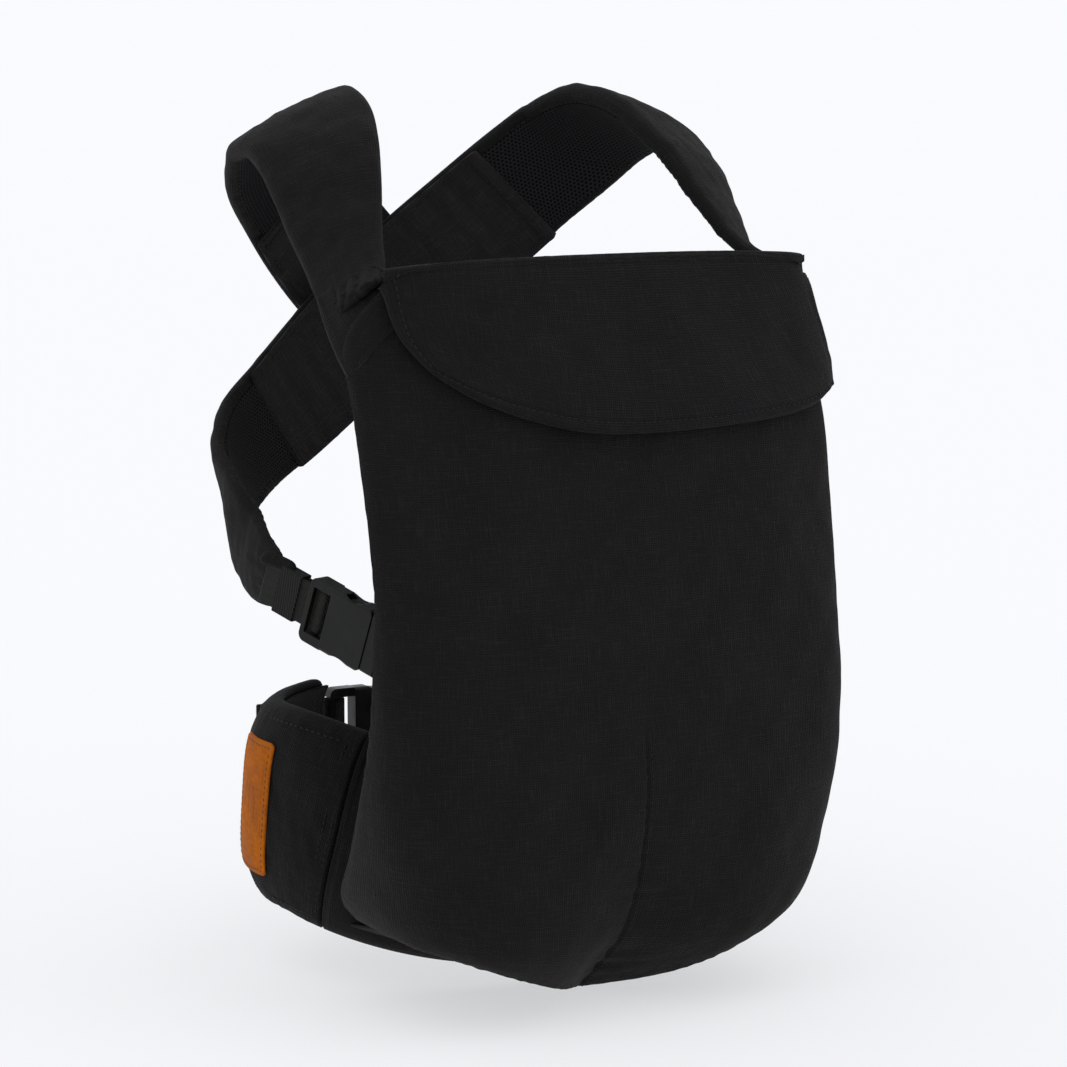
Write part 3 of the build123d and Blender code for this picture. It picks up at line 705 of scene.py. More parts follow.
def sewing_thread(name, colour):
    """Bonded polyester thread: two plies show as a fine slant twist, painted as darker grooves and
    a lighter copy of its colour on the crowns, with a slight sheen. Drawn 0.8 mm thick to show."""
    material, tree, shader = start(name)
    place = node(tree, "ShaderNodeTexCoord").outputs["Object"]
    ply = waves(tree, place, 0.7 * MM, "DIAGONAL", 0.5)
    # Painted highlight: a lighter copy of the thread's colour on the plies' crowns.
    light = tuple(min(1.0, c * 1.8 + 0.002) for c in colour[:3]) + (1.0,)
    finish_material(tree, shader, mix(tree, ply, colour, light), 0.5, ply, 0.0001)
    shader.inputs["Specular IOR Level"].default_value = 0.15
    return material


def floor_paint():
    """Matt seamless studio paper that glows by its own emission, painted light that keeps it evenly
    bright and its shadows light: near white, with no grain that shows."""
    material, tree, shader = start("studio_paper")
    place = node(tree, "ShaderNodeTexCoord").outputs["Object"]
    fibre = noise(tree, place, 500.0)
    colour = mix(tree, fibre, linear("#a4a5a7"), linear("#a8a9ab"))
    finish_material(tree, shader, colour, 0.95, fibre, 0.00002)
    # Painted light: the paper glows by this emission though it is no lamp, and the glow also lights the carrier
    # from below.
    shader.inputs["Emission Color"].default_value = linear("#f7f8fa")
    shader.inputs["Emission Strength"].default_value = 0.60
    shader.inputs["Specular IOR Level"].default_value = 0.0
    return material


MATERIALS = {}


def material(name):
    """Each finish is made once, when a piece first asks for it."""
    makers = {
        "linen": lambda: slub_linen("slub_linen", colours().linen_dark, colours().linen_light),
        # The sleeve's copy of the linen is painted lighter, to lift the shade on its downward inner face.
        "sleeve": lambda: slub_linen("slub_linen_sleeve_shade_lifted", colours().sleeve_shade_lifted_dark, colours().sleeve_shade_lifted_light),
        "lining": cotton_lining,
        "mesh": spacer_mesh,
        "webbing": woven_webbing,
        "elastic": ribbed_elastic,
        "leather": tanned_leather,
        "acetal": moulded_acetal,
        "thread": lambda: sewing_thread("polyester_thread", colours().thread_black),
        "tan_thread": lambda: sewing_thread("polyester_thread_tan", colours().thread_tan),
        "floor": floor_paint,
    }
    if name not in MATERIALS:
        MATERIALS[name] = makers[name]()
    return MATERIALS[name]


# ---------------------------------------------------------------- sizes that a user may change
class CARRIER_PG_sizes(bpy.types.PropertyGroup):
    stitch_length: bpy.props.FloatProperty(
        name="Stitch length", description="Length of one stitch", default=0.003, min=0.001, unit="LENGTH"
    )
    wrinkle_depth: bpy.props.FloatProperty(
        name="Wrinkle depth",
        description="Depth of the soft wrinkles in the straps",
        default=0.0006,
        unit="LENGTH",
    )
    mesh_pitch: bpy.props.FloatProperty(
        name="Mesh pitch",
        description="Distance between the mesh's holes",
        default=0.0026,
        min=0.001,
        unit="LENGTH",
    )


def sizes():
    return bpy.context.scene.carrier_sizes


def stitch():
    """One stitch's length in millimetres."""
    return sizes().stitch_length / MM


# Sets every colour: the things' own tones, and among them the painted shade and painted light.
def colour_setting(label, purpose, colour):
    """A colour property whose default is an sRGB hex colour."""
    return bpy.props.FloatVectorProperty(
        name=label, description=purpose, default=linear(colour), size=4, min=0.0, max=1.0, subtype="COLOR"
    )


class CARRIER_PG_colours(bpy.types.PropertyGroup):
    # The linen's dark colour is partly painted shade between its threads, and its light colour partly painted
    # light on their crowns.
    linen_dark: colour_setting("Linen, dark", "The linen between its threads", "#100f10")
    linen_light: colour_setting("Linen, light", "The linen's raised threads", "#232122")
    # The sleeve's two colours are painted lighter than the linen's, to lift the shade that falls on its downward
    # inner face.
    sleeve_shade_lifted_dark: colour_setting("Sleeve, dark", "The back sleeve between its threads", "#1d1b1c")
    sleeve_shade_lifted_light: colour_setting("Sleeve, light", "The back sleeve's raised threads", "#373536")
    # The lining's dark colour is partly painted shade between its threads, and its light colour partly painted
    # light on their crowns.
    lining_dark: colour_setting("Lining, dark", "The cotton lining between its threads", "#100f11")
    lining_light: colour_setting("Lining, light", "The cotton lining's raised threads", "#201f21")
    # The mesh's dark colour is painted shade inside its holes and in its knit grooves.
    mesh_painted_shade: colour_setting("Mesh, dark", "Inside the mesh's holes", "#010101")
    mesh_light: colour_setting("Mesh, light", "The mesh's ribs", "#262628")
    # The webbing's dark colour is partly painted shade between its ribs, and its light colour partly painted
    # light on them.
    webbing_dark: colour_setting("Webbing, dark", "The webbing between its ribs", "#0f0f0e")
    webbing_light: colour_setting("Webbing, light", "The webbing's ribs", "#2a2a27")
    # The contrast between the elastic's two colours is painted shade between its ribs and painted light on them.
    elastic_dark: colour_setting("Elastic, dark", "The elastic between its ribs", "#0f0f0f")
    elastic_light: colour_setting("Elastic, light", "The elastic's ribs", "#2b2b2a")
    leather_dark: colour_setting("Leather, dark", "The leather's deeper tan", "#844300")
    leather_light: colour_setting("Leather, light", "The leather's lighter tan", "#b96300")
    leather_worn: colour_setting("Leather, worn", "The leather where it is burnished", "#6a3300")
    acetal_dark: colour_setting("Buckle, dark", "The buckles' moulded face", "#0c0c0b")
    acetal_light: colour_setting("Buckle, light", "The buckles' scuffs", "#161615")
    thread_black: colour_setting("Thread", "The thread that sews the cloth", "#151416")
    thread_tan: colour_setting("Patch thread", "The thread that sews the patch", "#3a2410")


def colours():
    return bpy.context.scene.carrier_colours


# ---------------------------------------------------------------- operators
class CARRIER_OT_panel(bpy.types.Operator):
    """Sews the front panel with its dart, its lining, and the cloth under the seat"""

    bl_idname = "carrier.panel"
    bl_label = "Front panel"

    def execute(self, context):
        grid, out = panel_grid()
        u, v = lengths(grid)
        x = grid[..., 0]
        low = np.clip((66 - grid[..., 2]) / 30, 0, 1)
        seam = -1.5 * low * np.exp(-np.abs(x) / 1.3)
        pucker = 0.5 * low * np.exp(-np.abs(x) / 12) * ripple(v, 0 * v, 3, 11, (0, 0.1))
        soft = 0.7 * ripple(u, v, 11, 70) + 0.3 * ripple(u, v, 12, 28)
        edge = rim_distance(u, v)
        gather = 0.5 * np.exp(-edge / 9) * ripple(u, v, 21, 9)
        relief = seam + pucker + (soft * np.clip(edge / 30, 0, 1) + gather) * np.clip(edge / 4, 0, 1)
        sunk = rim_round(edge, PANEL_THICK * 0.5) * PANEL_THICK / 2
        front = grid + (relief - sunk - 0.05)[..., None] * out
        back = grid + (sunk - PANEL_THICK + 0.05)[..., None] * out
        panel = pillow("panel_outer", front, back, u, v, material("linen"), "root")
        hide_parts("panel_shell", "panel_padding")
        inner = rim_round(edge - 0.5, 0.8) * LINING_THICK / 2
        wave = 0.25 * ripple(u, v, 31, 40) * np.clip(edge / 20, 0, 1)
        lining_front = grid + (-PANEL_THICK - 0.2 - inner)[..., None] * out
        lining_back = grid + (-PANEL_THICK - 0.2 - LINING_THICK + inner + wave * 0.8)[..., None] * out
        lining = pillow("panel_lining_cotton", lining_front, lining_back, u, v, material("lining"), "root")
        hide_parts("panel_lining")
        self.seat_floor(grid, out)
        middle = int(np.argmin(np.abs(x[0] - 2.4)))
        dart = grid[:, middle, 2] < 60
        rows = [((front + 0.1 * out)[dart, middle], out[dart, middle])]
        thread = stitches("dart_stitches", rows, "root", material("thread"), 2.4, 1.4, 0.3)
        return {"FINISHED"}

    def seat_floor(self, grid, out):
        """Straight lines from the panel's foot to the belt's lower edge, with soft random waves over them."""
        foot = (grid - (PANEL_THICK - 3.0) * out)[-1, 6:-6]
        angles = np.arcsin(0.97 * foot[:, 0] / BELT_HALF_WIDTH)
        dip = BELT_DIP * 0.5 * (1 + np.cos(2 * np.abs(angles)))
        lower = BELT_HEIGHT / 2 - 9
        lean = lower * math.sin(BELT_LEAN)
        bow = BELT_BOW * (lower / (BELT_HEIGHT / 2)) ** BELT_CURL - 1.9
        inward = np.column_stack([-np.sin(angles), np.cos(angles)])
        deep = BELT_CENTRE_Y - BELT_HALF_DEPTH * np.cos(angles)
        flat = np.column_stack([BELT_HALF_WIDTH * np.sin(angles), deep])
        flat = flat + inward * (bow - lean)
        rim = np.column_stack([flat, -6 - dip - lower * math.cos(BELT_LEAN)])
        share = near_ends(24, 0.03)[:, None, None]
        sheet = foot[None] * (1 - share) + rim[None] * share
        way = normals(sheet)
        way *= np.sign(way[..., 2].mean()) * -1
        u, v = lengths(sheet)
        edge = rim_distance(u, v)
        wave = 0.5 * ripple(u, v, 41, 30) * np.clip(edge / 15, 0, 1)
        sunk = rim_round(edge, 0.8) * 0.8
        lower_face = sheet + (wave + 0.8 - sunk)[..., None] * way
        upper_face = sheet + (wave - 0.8 + sunk)[..., None] * way
        floor = pillow("seat_floor_cloth", lower_face, upper_face, u, v, material("linen"), "root")
        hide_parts("seat_floor")


class CARRIER_OT_headrest(bpy.types.Operator):
    """Sews the padded headrest flap, its topstitching, and the fold that joins it to the panel's top"""

    bl_idname = "carrier.headrest"
    bl_label = "Headrest"

    def execute(self, context):
        grid, out = headrest_grid()
        u, v = lengths(grid)
        edge = rim_distance(u, v)
        radius = (HEADREST_FRONT - HEADREST_BACK) / 2
        sunk = rim_round(edge, radius) * radius
        soft = 0.8 * ripple(u, v, 51, 90) + 0.35 * ripple(u, v, 52, 30)
        groove = -0.9 * bump_at(edge, 5.5, 1.1)
        pucker = 0.35 * np.exp(-edge / 5) * ripple(u, v, 53, 8)
        relief = soft * np.clip((edge - 6) / 25, 0, 1) + groove + pucker
        relief *= np.clip(edge / 3, 0, 1)
        front = grid + (HEADREST_FRONT - sunk + relief)[..., None] * out
        back = grid + (HEADREST_BACK + sunk)[..., None] * out
        pad = pillow("headrest_flap", front, back, u, v, material("linen"), "headrest")
        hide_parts("headrest_cover", "headrest_padding")
        skin = front + 0.15 * out
        low = int(np.argmin(np.abs(v[:, 0] - (v.max() - 5.5))))
        first = int(np.argmin(np.abs(u[0] - 5.5)))
        last = int(np.argmin(np.abs(u[0] - (u.max() - 5.5))))
        paths = [(skin[low, first : last + 1], out[low, first : last + 1])]
        paths += [(skin[4 : low + 1, k], out[4 : low + 1, k]) for k in (first, last)]
        thread = stitches("headrest_stitches", paths, "headrest", material("thread"), stitch())
        self.fold(grid)
        return {"FINISHED"}

    def fold(self, grid):
        """A thin band over the top edge: from the panel's back straight up, then a half circle
        to the flap's front."""
        turn = near_ends(18, 0.04) * math.pi
        across = near_ends(70, 0.02)
        top = grid[0, 4:-4]
        even = np.linspace(0, 1, len(top))
        spots = np.stack([np.interp(across, even, top[:, k]) for k in range(3)], axis=1)
        drop = np.linspace(FOLD_DROP, 0, 7)[:-1]
        ring = np.stack([0 * turn, -1.5 + 6.6 * np.cos(turn), 7.2 * np.sin(turn) - 7.0], axis=1)
        ring = np.concatenate([ring[:1] - np.outer(drop, (0, 0, 1)), ring])
        turn = np.concatenate([0 * drop, turn])
        way = np.stack([0 * turn, np.cos(turn), np.sin(turn)], axis=1)[None]
        soft = np.clip(1 - np.abs(2 * across - 1) ** 12, 0.0, 1) ** 0.5
        sag = np.array([0, 0, 3.0]) * (1 - soft)[:, None, None]
        outer = spots[:, None] + ring[None] * soft[:, None, None] - sag
        u, v = lengths(outer)
        edge = rim_distance(u, v)
        sunk = rim_round(edge, 0.7) * 0.7
        front = outer + (-sunk + 0.2 * ripple(u, v, 61, 12) * np.clip(edge / 4, 0, 1))[..., None] * way
        back = outer + (sunk - 1.4)[..., None] * way
        cloth = pillow("headrest_fold_cloth", front, back, u, v, material("linen"), None)
        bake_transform(cloth)


class CARRIER_OT_belt(bpy.types.Operator):
    """Sews the padded waist belt: two wings with mesh inside, the front piece, and the leather patch"""

    bl_idname = "carrier.belt"
    bl_label = "Waist belt"

    def execute(self, context):
        paths = []
        for side, name in ((-1, "left"), (1, "right")):
            band = belt_band(side, BELT_SEAM_ANGLE + 0.1, BELT_WING_ANGLE, 120)
            reach = band.run - band.run[0]
            tip = reach[-1] - reach
            taper = np.clip(1 - np.clip(1 - tip / 26, 0, 1) ** 3, 0, 1) ** (1 / 3)
            taper = np.maximum(taper, 0.62)

            def wrinkle(u, x, up):
                soft = 0.5 * ripple(u, x, 71, 55) + 0.25 * ripple(u, x, 72, 16)
                gather = 0.45 * np.exp(-u / 12) * ripple(u * 0.4, x, 73, 9)
                return (soft + gather) * (up > 0.6)

            rings = band.pad(
                -BELT_PAD, -0.05, crown=0.25, wrinkle=wrinkle, flat=45, ends=(0.22, 1.2), taper=taper
            )
            wing = tube(f"belt_wing_{name}", rings, band.run, material("linen"), "root")
            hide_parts(f"belt_cover_{name}", f"belt_foam_{name}")
            inner = belt_band(side, 1.5, BELT_WING_ANGLE - 3, 170)
            bottom = -BELT_PAD - BELT_MESH_DEPTH
            rings = inner.pad(bottom, -BELT_PAD + 0.4, inset=5.0, crown=0.15, flat=45, corner=5)
            mesh = tube(f"belt_mesh_face_{name}", rings, inner.run, material("mesh"), "root")
            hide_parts(f"belt_mesh_{name}")
            for inset in (3.5, 8.5):
                k = int(np.argmin(np.abs(reach - inset)))
                x = np.linspace(-0.9, 0.9, 60)[None] * band.half[k]
                spots = band.part(k, k + 1).points(x, 0 * x + 0.2)[0]
                paths.append((spots, np.repeat(band.outward[k : k + 1], 60, axis=0)))
            for sign in (-1, 1):
                x = sign * (band.half * taper - BELT_PAD / 2 - 2.5)
                paths.append(band.line(x, 0.2, 12, -14))
        front = belt_band(1, -BELT_SEAM_ANGLE + 0.05, BELT_SEAM_ANGLE - 0.05, 150)

        def soften(u, x, up):
            return 0.5 * ripple(u, x, 75, 45) * (up > 0.6)

        rings = front.pad(-BELT_PAD, -0.05, crown=0.2, wrinkle=soften, flat=41, ends=(0.22, 0.22))
        cloth = tube("belt_front_pad", rings, front.run, material("linen"), "root")
        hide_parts("belt_front_cover")
        thread = stitches("belt_stitches", paths, "root", material("thread"), stitch())
        self.patch()
        return {"FINISHED"}

    def patch(self):
        """A thick tab of leather on the wing, with a pressed border line, a row of stitches,
        and a plain mark."""
        first, long = 83.0, math.degrees(40.0 / BELT_HALF_DEPTH) * 0.98
        band = belt_band(-1, first, first + long, 60)
        share = 39.0 / band.half
        band.bow = BELT_BOW * share[0] ** BELT_CURL
        band.half = band.half * share
        reach = band.run - band.run[0]
        near = np.minimum(reach, reach[-1] - reach)
        taper = np.clip(1 - 0.055 * np.clip(1 - near / 4, 0, 1) ** 2, 0, 1)

        def press(u, x, up):
            edge = np.minimum(np.minimum(u, reach[-1] - u), band.half[:, None] - np.abs(x))
            leaf = np.hypot((u - reach[-1] / 2) / 7.5, x / 16)
            mark = bump_at(leaf, 1.0, 0.09) + 0.8 * bump_at(u - reach[-1] / 2, 0, 0.8) * (leaf < 1)
            return (-0.35 * bump_at(edge, 4.6, 0.7) - 0.4 * np.clip(mark, 0, 1)) * (up > 0.9)

        rings = band.pad(0.35, 2.3, wrinkle=press, flat=121, corner=5, taper=taper)
        leather = tube("leather_patch_tan", rings, band.run, material("leather"), "root")
        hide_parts("leather_patch")
        paths = []
        for sign in (-1, 1):
            paths.append(band.line(sign * (band.half - 3.0), 2.3, 8, -8))
        for k in (int(np.argmin(np.abs(reach - 3.0))), int(np.argmin(np.abs(reach - reach[-1] + 3.0)))):
            x = np.linspace(-0.9, 0.9, 50)[None] * band.half[k]
            spots = band.part(k, k + 1).points(x, 0 * x + 2.3)[0]
            paths.append((spots, np.repeat(band.outward[k : k + 1], 50, axis=0)))
        thread = stitches("leather_patch_stitches", paths, "root", material("tan_thread"), 2.6, 1.0, 0.34)


class CARRIER_OT_straps(bpy.types.Operator):
    """Sews the two padded shoulder straps that cross on the back, with mesh inside and a sleeve of cloth"""

    bl_idname = "carrier.straps"
    bl_label = "Shoulder straps"

    def execute(self, context):
        for side, lift, name in ((-1, STRAP_CROSS_OFFSET, "left"), (1, -STRAP_CROSS_OFFSET, "right")):
            self.strap(side, lift, name)
        return {"FINISHED"}

    def strap(self, side, lift, name):
        band, foam = strap_band(side, lift)
        total = band.run[-1]
        seed = 100 if side < 0 else 200
        depth = sizes().wrinkle_depth / MM

        def wrinkle(u, x, up):
            soft = depth * (ripple(u, x, seed, 45, (-0.5, 0.5)) + 0.4 * ripple(u, x, seed + 1, 14))
            base = 1.1 * np.exp(-u / 16) * ripple(0.25 * u, x, seed + 2, 6.5, (1.2, 1.9))
            end = 0.7 * np.exp(-(total - u) / 16) * ripple(0.3 * u, x, seed + 3, 7, (1.2, 1.9))
            binding = 0.2 * (up < 0.2) * ripple(u, 0 * x, seed + 4, 5.5, (0, 0.2))
            open_ = 1 - (up < -0.3) * np.clip((band.half[:, None] - 5 - np.abs(x)) / 2, 0, 1)
            return (soft * (np.abs(up) > 0.6) + base * (up > -0.3) + end + binding) * open_

        high = foam / 2 + 2.0
        low = -foam / 2 - 1.4
        rings = band.pad(low, high, crown=0.5, wrinkle=wrinkle, flat=27)
        pad = tube(f"shoulder_pad_{name}", rings, band.run, material("linen"), "root")
        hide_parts(f"strap_cover_{name}", f"strap_foam_{name}")
        inner = band.part(10, -14)
        rings = inner.pad((low - 1.1)[10:-14], (low + 1.2)[10:-14], inset=6.5, crown=0.3, flat=25, corner=4)
        mesh = tube(f"shoulder_mesh_{name}", rings, inner.run, material("mesh"), "root")
        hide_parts(f"strap_mesh_{name}")
        self.sleeve(band, low, seed, name)
        self.base_seam(band, name)
        self.gusset(band, high, side, name)
        paths = []
        edge = band.half - (high - low) / 2 - 1.0
        for sign in (-1, 1):
            paths.append(band.line(sign * np.maximum(band.half - 5.6, 2), low - 0.25, 12, -16))
        paths = [(spots, -way) for spots, way in paths]
        k = 6
        x = np.linspace(-0.85, 0.85, 40)[None] * edge[k]
        spots = band.part(k, k + 1).points(x, 0 * x + high[k] + 0.4)[0]
        paths.append((spots, np.repeat(band.outward[k : k + 1], 40, axis=0)))
        thread = stitches(f"shoulder_stitches_{name}", paths, "root", material("thread"), stitch())

    def base_seam(self, band, name):
        """A rolled binding over the strap's sewn end: a circle carried across the band, smaller
        at both edges."""
        across = near_ends(40, 0.05) * 2 - 1
        centre = band.part(2, 3).points(across[None] * (band.half[2] - 1), 0 * across[None] + 0.4)[0]
        uneven = 0.25 * ripple(across * 18, 0 * across, 301, 5, (0, 0.1))
        size = np.clip(2.6 * np.sqrt(np.clip(1 - across**4, 0, 1)) + uneven, 0, 3)
        size[[0, -1]] = 0
        turn = np.linspace(0, 2 * math.pi, 17)[:-1]
        along = unit(np.cross(band.across[2], band.outward[2]))
        ring = 1.5 * np.cos(turn)[:, None] * along + np.sin(turn)[:, None] * band.outward[2]
        loops = centre[:, None] + size[:, None, None] * ring[None]
        run = np.concatenate([[0], np.cumsum(np.linalg.norm(np.diff(centre, axis=0), axis=1))])
        roll = tube(f"shoulder_seam_{name}", loops, run, material("linen"), "root")

    def gusset(self, band, high, side, name):
        """The cloth from the strap's sewn end down onto the panel's corner: straight lines from
        a section of the strap to a curve on the panel's face, swollen in the middle, with
        gathers that fade away from the strap."""
        count = 60
        face = panel_surface(through(PANEL_ROWS, 400), side * np.linspace(0.999, 0.78, count))
        level = np.linspace(252, 294, count)
        columns = [(z, face[:, k]) for k, z in enumerate(level)]
        lower = np.stack([[np.interp(-z, -line[:, 2], line[:, c]) for c in range(3)] for z, line in columns])
        first = STRAP_DENSITY
        sideways = np.linspace(-0.985, 0.85, count)[None] * band.half[first]
        upper = band.part(first, first + 1).points(sideways, 0 * sideways + high[first] - 0.9)[0]
        share = near_ends(40, 0.02)[:, None, None]
        flat = (1 - share) * upper[None] + share * lower[None]
        if side > 0:
            flat = flat[:, ::-1]
        u, v = lengths(flat)
        gather = (0.2 + 0.8 * np.exp(-v / 12)) * ripple(u, 0.25 * v, 350 + side, 6.0, (-0.3, 0.3))
        swell = 2.2 * np.sin(math.pi * share[..., 0]) + 0.8 * gather
        thick = 1.1 * (1 - rim_round(rim_distance(u, v), 3.0))
        out = normals(flat)
        front, back = (flat + out * (swell + sign * thick)[..., None] for sign in (1, -1))
        cloth = pillow(f"shoulder_gusset_{name}", front, back, u, v, material("linen"), "root")

    def sleeve(self, band, low, seed, name):
        """A loose cloth laid over the inner face where the strap crosses the back, hemmed and
        creased at both ends."""
        first, last = round(SLEEVE_FIRST * STRAP_DENSITY), round(SLEEVE_LAST * STRAP_DENSITY)
        part = band.part(first, last)
        bottom = low[first:last] - 2.3
        long = part.run[-1] - part.run[0]

        def folds(u, x, up):
            across = 0.8 * ripple(u, x * 0.35, seed + 5, 17, (-0.25, 0.25))
            sunk = bump_at(u, 9, 1.2) + bump_at(u, long - 9, 1.2)
            hems = 0.4 * (bump_at(u, 4.5, 3) + bump_at(u, long - 4.5, 3)) - 0.7 * sunk
            seam = -0.7 * bump_at(np.abs(x), part.half[:, None] - 5.5, 0.9)
            return (-across - hems - seam) * (up < -0.6)

        rings = part.pad(bottom, bottom + 2.2, inset=0.2, crown=0.1, wrinkle=folds, flat=27, corner=4)
        # Painted light: the sleeve's linen is painted lighter to lift the shade on this downward face.
        cloth = tube(f"back_sleeve_{name}", rings, part.run, material("sleeve"), "root")
        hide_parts(f"strap_sleeve_{name}")
        paths = []
        reach = part.run - part.run[0]
        for inset in (3.5, 9.0, long - 9.0, long - 3.5):
            k = int(np.argmin(np.abs(reach - inset)))
            x = np.linspace(-0.92, 0.92, 50)[None] * part.half[k]
            spots = part.part(k, k + 1).points(x, 0 * x + bottom[k] - 0.15)[0]
            paths.append((spots, -np.repeat(part.outward[k : k + 1], 50, axis=0)))
        for sign in (-1, 1):
            spots, way = part.line(sign * (part.half - 4.6), bottom - 0.15, 3, -3)
            paths.append((spots, -way))
        thread = stitches(f"back_sleeve_stitches_{name}", paths, "root", material("thread"), stitch())


class CARRIER_OT_webbing(bpy.types.Operator):
    """Weaves the flat webbing of every buckle: the adjusting strap with its tail, and the doubled tab"""

    bl_idname = "carrier.webbing"
    bl_label = "Webbing"

    def execute(self, context):
        place, route = (WAIST_LADDER, WAIST_AXIS, WAIST_FACE), (WAIST_LEAD, WAIST_TAIL_END, WAIST_TAB, WAIST_BAR)
        sets = [("waist", *place, WAIST_WEB, *route)]
        for side, name in ((-1, "left"), (1, "right")):
            place, axis, face = np.array([SHOULDER_LADDER, SHOULDER_AXIS, SHOULDER_FACE], float)
            for vector in (place, axis, face):
                vector[0] *= -side
            lead, tail, tab, bar = SHOULDER_LEAD, SHOULDER_TAIL_END, SHOULDER_TAB, SHOULDER_BAR
            sets.append((f"shoulder_{name}", place, axis, face, SHOULDER_WEB, lead, tail, tab, bar))
        for name, place, axis, face, web, lead, tail, tab, bar in sets:
            adjuster = [*lead, (4.4, 0), (6.4, 1.6), (10.8, 1.6), (10.8, -4.4), (tail, -4.4)]
            upper = [(x, z + 1.2) for x, z in tab]
            lower = [(x, z - 1.2) for x, z in reversed(tab)]
            loop = [(bar + 5, 2.6), (bar - 2.8, 2.6), (bar - 2.8, -2.6), (bar + 5, -2.6)]
            if lead is SHOULDER_LEAD:
                self.tuck(name, place, axis, face)
            for kind, route in (("webbing", adjuster), ("tab", upper + loop + lower)):
                band = self.band(route, place, axis, face, web)
                rings = band.pad(-WEB_THICK / 2, WEB_THICK / 2, flat=15, corner=3)
                piece = tube(f"{name}_{kind}_woven", rings, band.run, material("webbing"), "root")
                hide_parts(f"{name}_{kind}")
        return {"FINISHED"}

    def tuck(self, name, place, axis, face):
        """The strap's spare cloth, rolled up beside the webbing: a circle carried along a line,
        fat in its middle."""
        z = unit(face)
        x = unit(axis - np.dot(axis, z) * z)
        y = np.cross(z, x) * np.sign(np.cross(z, x)[2])
        share = near_ends(26, 0.05)
        centre = place + np.outer(-42 + 25 * share, x) + np.outer(10.5 + 3.0 * share, y)
        centre = centre + np.outer(-0.8 - share, z)
        size = 5.2 * np.clip(1 - np.abs(2 * share - 1) ** 5, 0, 1) ** 0.5 * (1 - 0.25 * share)
        turn = np.linspace(0, 2 * math.pi, 33)[:-1]
        crease = 1 + 0.12 * np.cos(3 * turn + 1)[None] - 0.3 * bump_at(turn, 2.2, 0.25)[None]
        ring = np.cos(turn)[:, None] * y + 0.62 * np.sin(turn)[:, None] * z
        loops = centre[:, None] + (size[:, None] * crease)[..., None] * ring[None]
        roll = tube(f"{name}_strap_tuck", loops, 25 * share, material("linen"), "root")

    def band(self, route, place, axis, face, web):
        """The route's corners are cut twice into short chords, and the band runs along them in
        the buckle's plane."""
        line = np.array(route, float)
        step = np.linalg.norm(np.diff(line, axis=0), axis=1)
        for _ in range(3):
            cut = np.minimum(0.25, 1.1 / np.maximum(step, 1e-6))[:, None]
            a, b = line[:-1], line[1:]
            cuts = np.stack([a + (b - a) * cut, b - (b - a) * cut], axis=1).reshape(-1, 2)
            line = np.concatenate([line[:1], cuts, line[-1:]])
            step = np.linalg.norm(np.diff(line, axis=0), axis=1)
        run = np.concatenate([[0], np.cumsum(step)])
        even = np.linspace(0, run[-1], int(run[-1] / 0.8))
        line = np.stack([np.interp(even, run, line[:, 0]), np.interp(even, run, line[:, 1])], axis=1)
        z = unit(face)
        x = unit(axis - np.dot(axis, z) * z)
        y = np.cross(z, x)
        middles = np.asarray(place, float) + line[:, :1] * x + line[:, 1:] * z
        return Band(middles, np.tile(y, (len(middles), 1)), np.full(len(middles), web / 2), 1, 0.0, 2)


class CARRIER_OT_buckles(bpy.types.Operator):
    """Gives the moulded buckles and the elastic keepers their finish"""

    bl_idname = "carrier.buckles"
    bl_label = "Buckles"

    def execute(self, context):
        for name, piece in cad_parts.items():
            if name.endswith(("_receiver", "_plug", "_prong_upper", "_prong_lower")):
                finish = material("acetal")
            elif name.endswith("_keeper"):
                finish = material("elastic")
            else:
                continue
            for place in piece.material_slots:
                place.material = finish
        return {"FINISHED"}


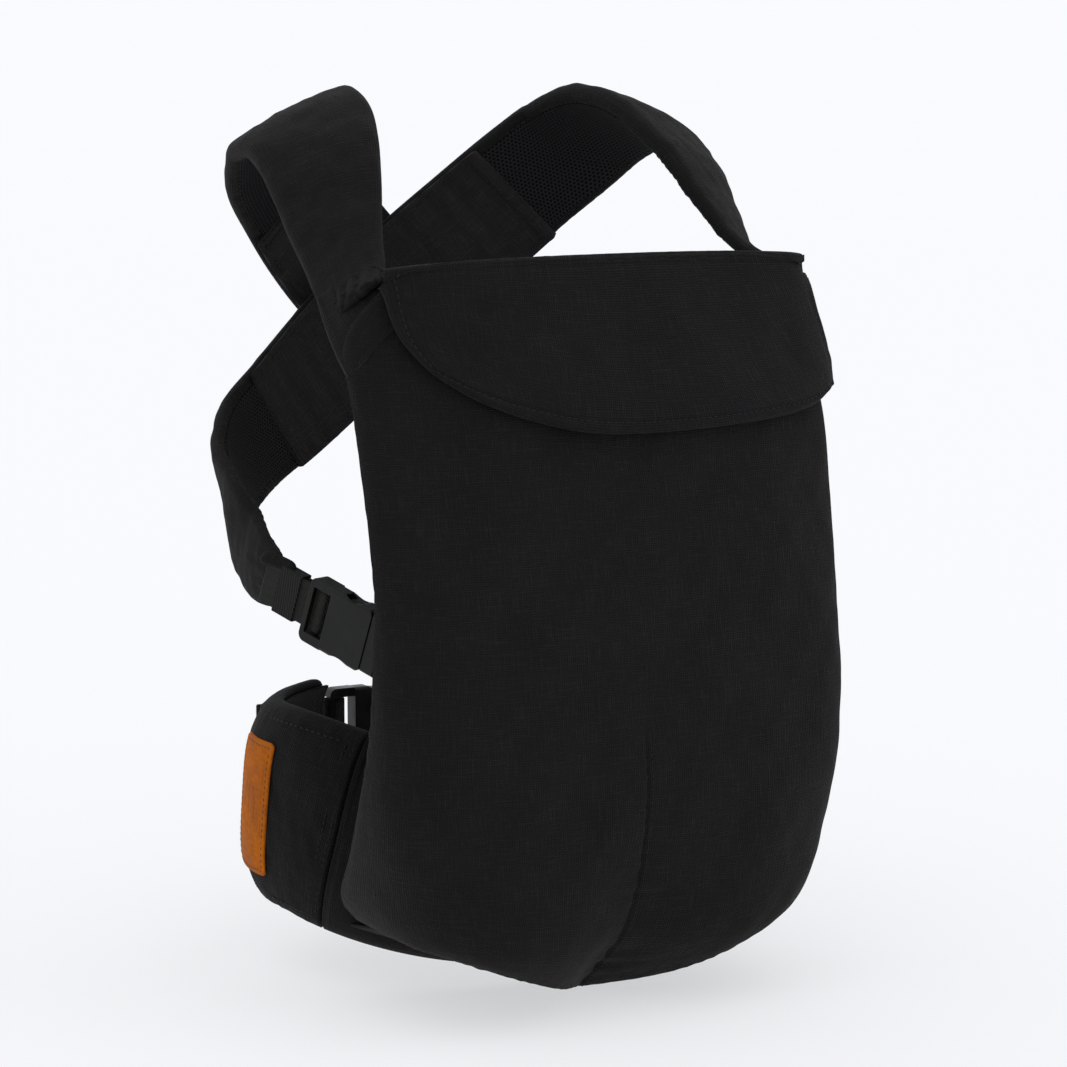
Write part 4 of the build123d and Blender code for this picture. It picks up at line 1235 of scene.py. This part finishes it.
class CARRIER_OT_stage(bpy.types.Operator):
    """Lays the pale floor and sets the soft lights and the camera"""

    bl_idname = "carrier.stage"
    bl_label = "Stage"

    def execute(self, context):
        radius = 14.0 * np.linspace(0, 1, 30) ** 1.6
        angle = np.linspace(0, 2 * math.pi, 65)[:-1]
        disc = radius[:, None, None] * np.stack([np.cos(angle), np.sin(angle), 0 * angle], axis=1)[None]
        disc[..., 2] = 2.2 * np.clip((radius - 6) / 8, 0, 1)[:, None] ** 2
        disc[..., 2] += CAD_BOX[0][2] - 0.0015
        faces, _, _ = grid_faces(30, 64, True)
        mesh = bpy.data.meshes.new("studio_floor")
        mesh.from_pydata(disc.reshape(-1, 3).tolist(), [], faces.tolist())
        mesh.materials.append(material("floor"))
        floor = bpy.data.objects.new("studio_floor", mesh)
        context.scene.collection.objects.link(floor)
        self.lights(context)
        self.camera(context)
        return {"FINISHED"}

    def lights(self, context):
        world = bpy.data.worlds.new("studio")
        world.use_nodes = True
        world.node_tree.nodes["Background"].inputs[0].default_value = linear("#f7f8fa")
        world.node_tree.nodes["Background"].inputs[1].default_value = 0.98
        context.scene.world = world
        context.scene.view_settings.view_transform = "Standard"
        lamps = [("key_softbox", (-0.7, -0.6, 1.7), 0.36, 80)]
        for name, place, strength, spread in lamps:
            lamp = bpy.data.lights.new(name, "SUN")
            lamp.energy, lamp.angle = strength, math.radians(spread)
            box = bpy.data.objects.new(name, lamp)
            box.location = place
            box.rotation_mode = "QUATERNION"
            box.rotation_quaternion = bpy_vector(-np.array(place)).to_track_quat("-Z", "Y")
            context.scene.collection.objects.link(box)

    def camera(self, context):
        centre = np.array([0, -0.092, 0.152])
        azimuth, elevation, distance = math.radians(-30), math.radians(8), 2.1
        level = math.cos(elevation)
        back = np.array([math.sin(azimuth) * level, -math.cos(azimuth) * level, math.sin(elevation)])
        eye = bpy.data.cameras.new("camera")
        eye.lens, eye.sensor_width = 124.7, 36.0
        camera = bpy.data.objects.new("camera", eye)
        camera.location = centre + distance * back
        camera.rotation_mode = "QUATERNION"
        camera.rotation_quaternion = bpy_vector(-back).to_track_quat("-Z", "Y")
        context.scene.collection.objects.link(camera)
        context.scene.camera = camera


def bpy_vector(values):
    """Any three numbers as a Blender vector."""
    return Vector(tuple(float(v) for v in values))


class CARRIER_PT_sidebar(bpy.types.Panel):
    """Lists the carrier's sizes and pieces"""

    bl_idname = "CARRIER_PT_sidebar"
    bl_label = "Baby carrier"
    bl_space_type = "VIEW_3D"
    bl_region_type = "UI"
    bl_category = "Carrier"

    def draw(self, context):
        for chosen in (context.scene.carrier_sizes, context.scene.carrier_colours):
            for key in chosen.bl_rna.properties.keys():
                if key not in ("rna_type", "name"):
                    self.layout.prop(chosen, key)
        for operator in OPERATORS:
            self.layout.operator(operator.bl_idname)


OPERATORS = (
    CARRIER_OT_stage,
    CARRIER_OT_panel,
    CARRIER_OT_headrest,
    CARRIER_OT_belt,
    CARRIER_OT_straps,
    CARRIER_OT_webbing,
    CARRIER_OT_buckles,
)
CLASSES = (CARRIER_PG_sizes, CARRIER_PG_colours, *OPERATORS, CARRIER_PT_sidebar)


def register():
    for kind in CLASSES:
        bpy.utils.register_class(kind)
    bpy.types.Scene.carrier_sizes = bpy.props.PointerProperty(type=CARRIER_PG_sizes)
    bpy.types.Scene.carrier_colours = bpy.props.PointerProperty(type=CARRIER_PG_colours)


def unregister():
    del bpy.types.Scene.carrier_colours
    del bpy.types.Scene.carrier_sizes
    for kind in reversed(CLASSES):
        bpy.utils.unregister_class(kind)


def make_carrier():
    register()
    bpy.ops.carrier.stage()
    bpy.ops.carrier.panel()
    bpy.ops.carrier.headrest()
    bpy.ops.carrier.belt()
    bpy.ops.carrier.straps()
    bpy.ops.carrier.webbing()
    bpy.ops.carrier.buckles()


if __name__ == "__main__":
    make_carrier()
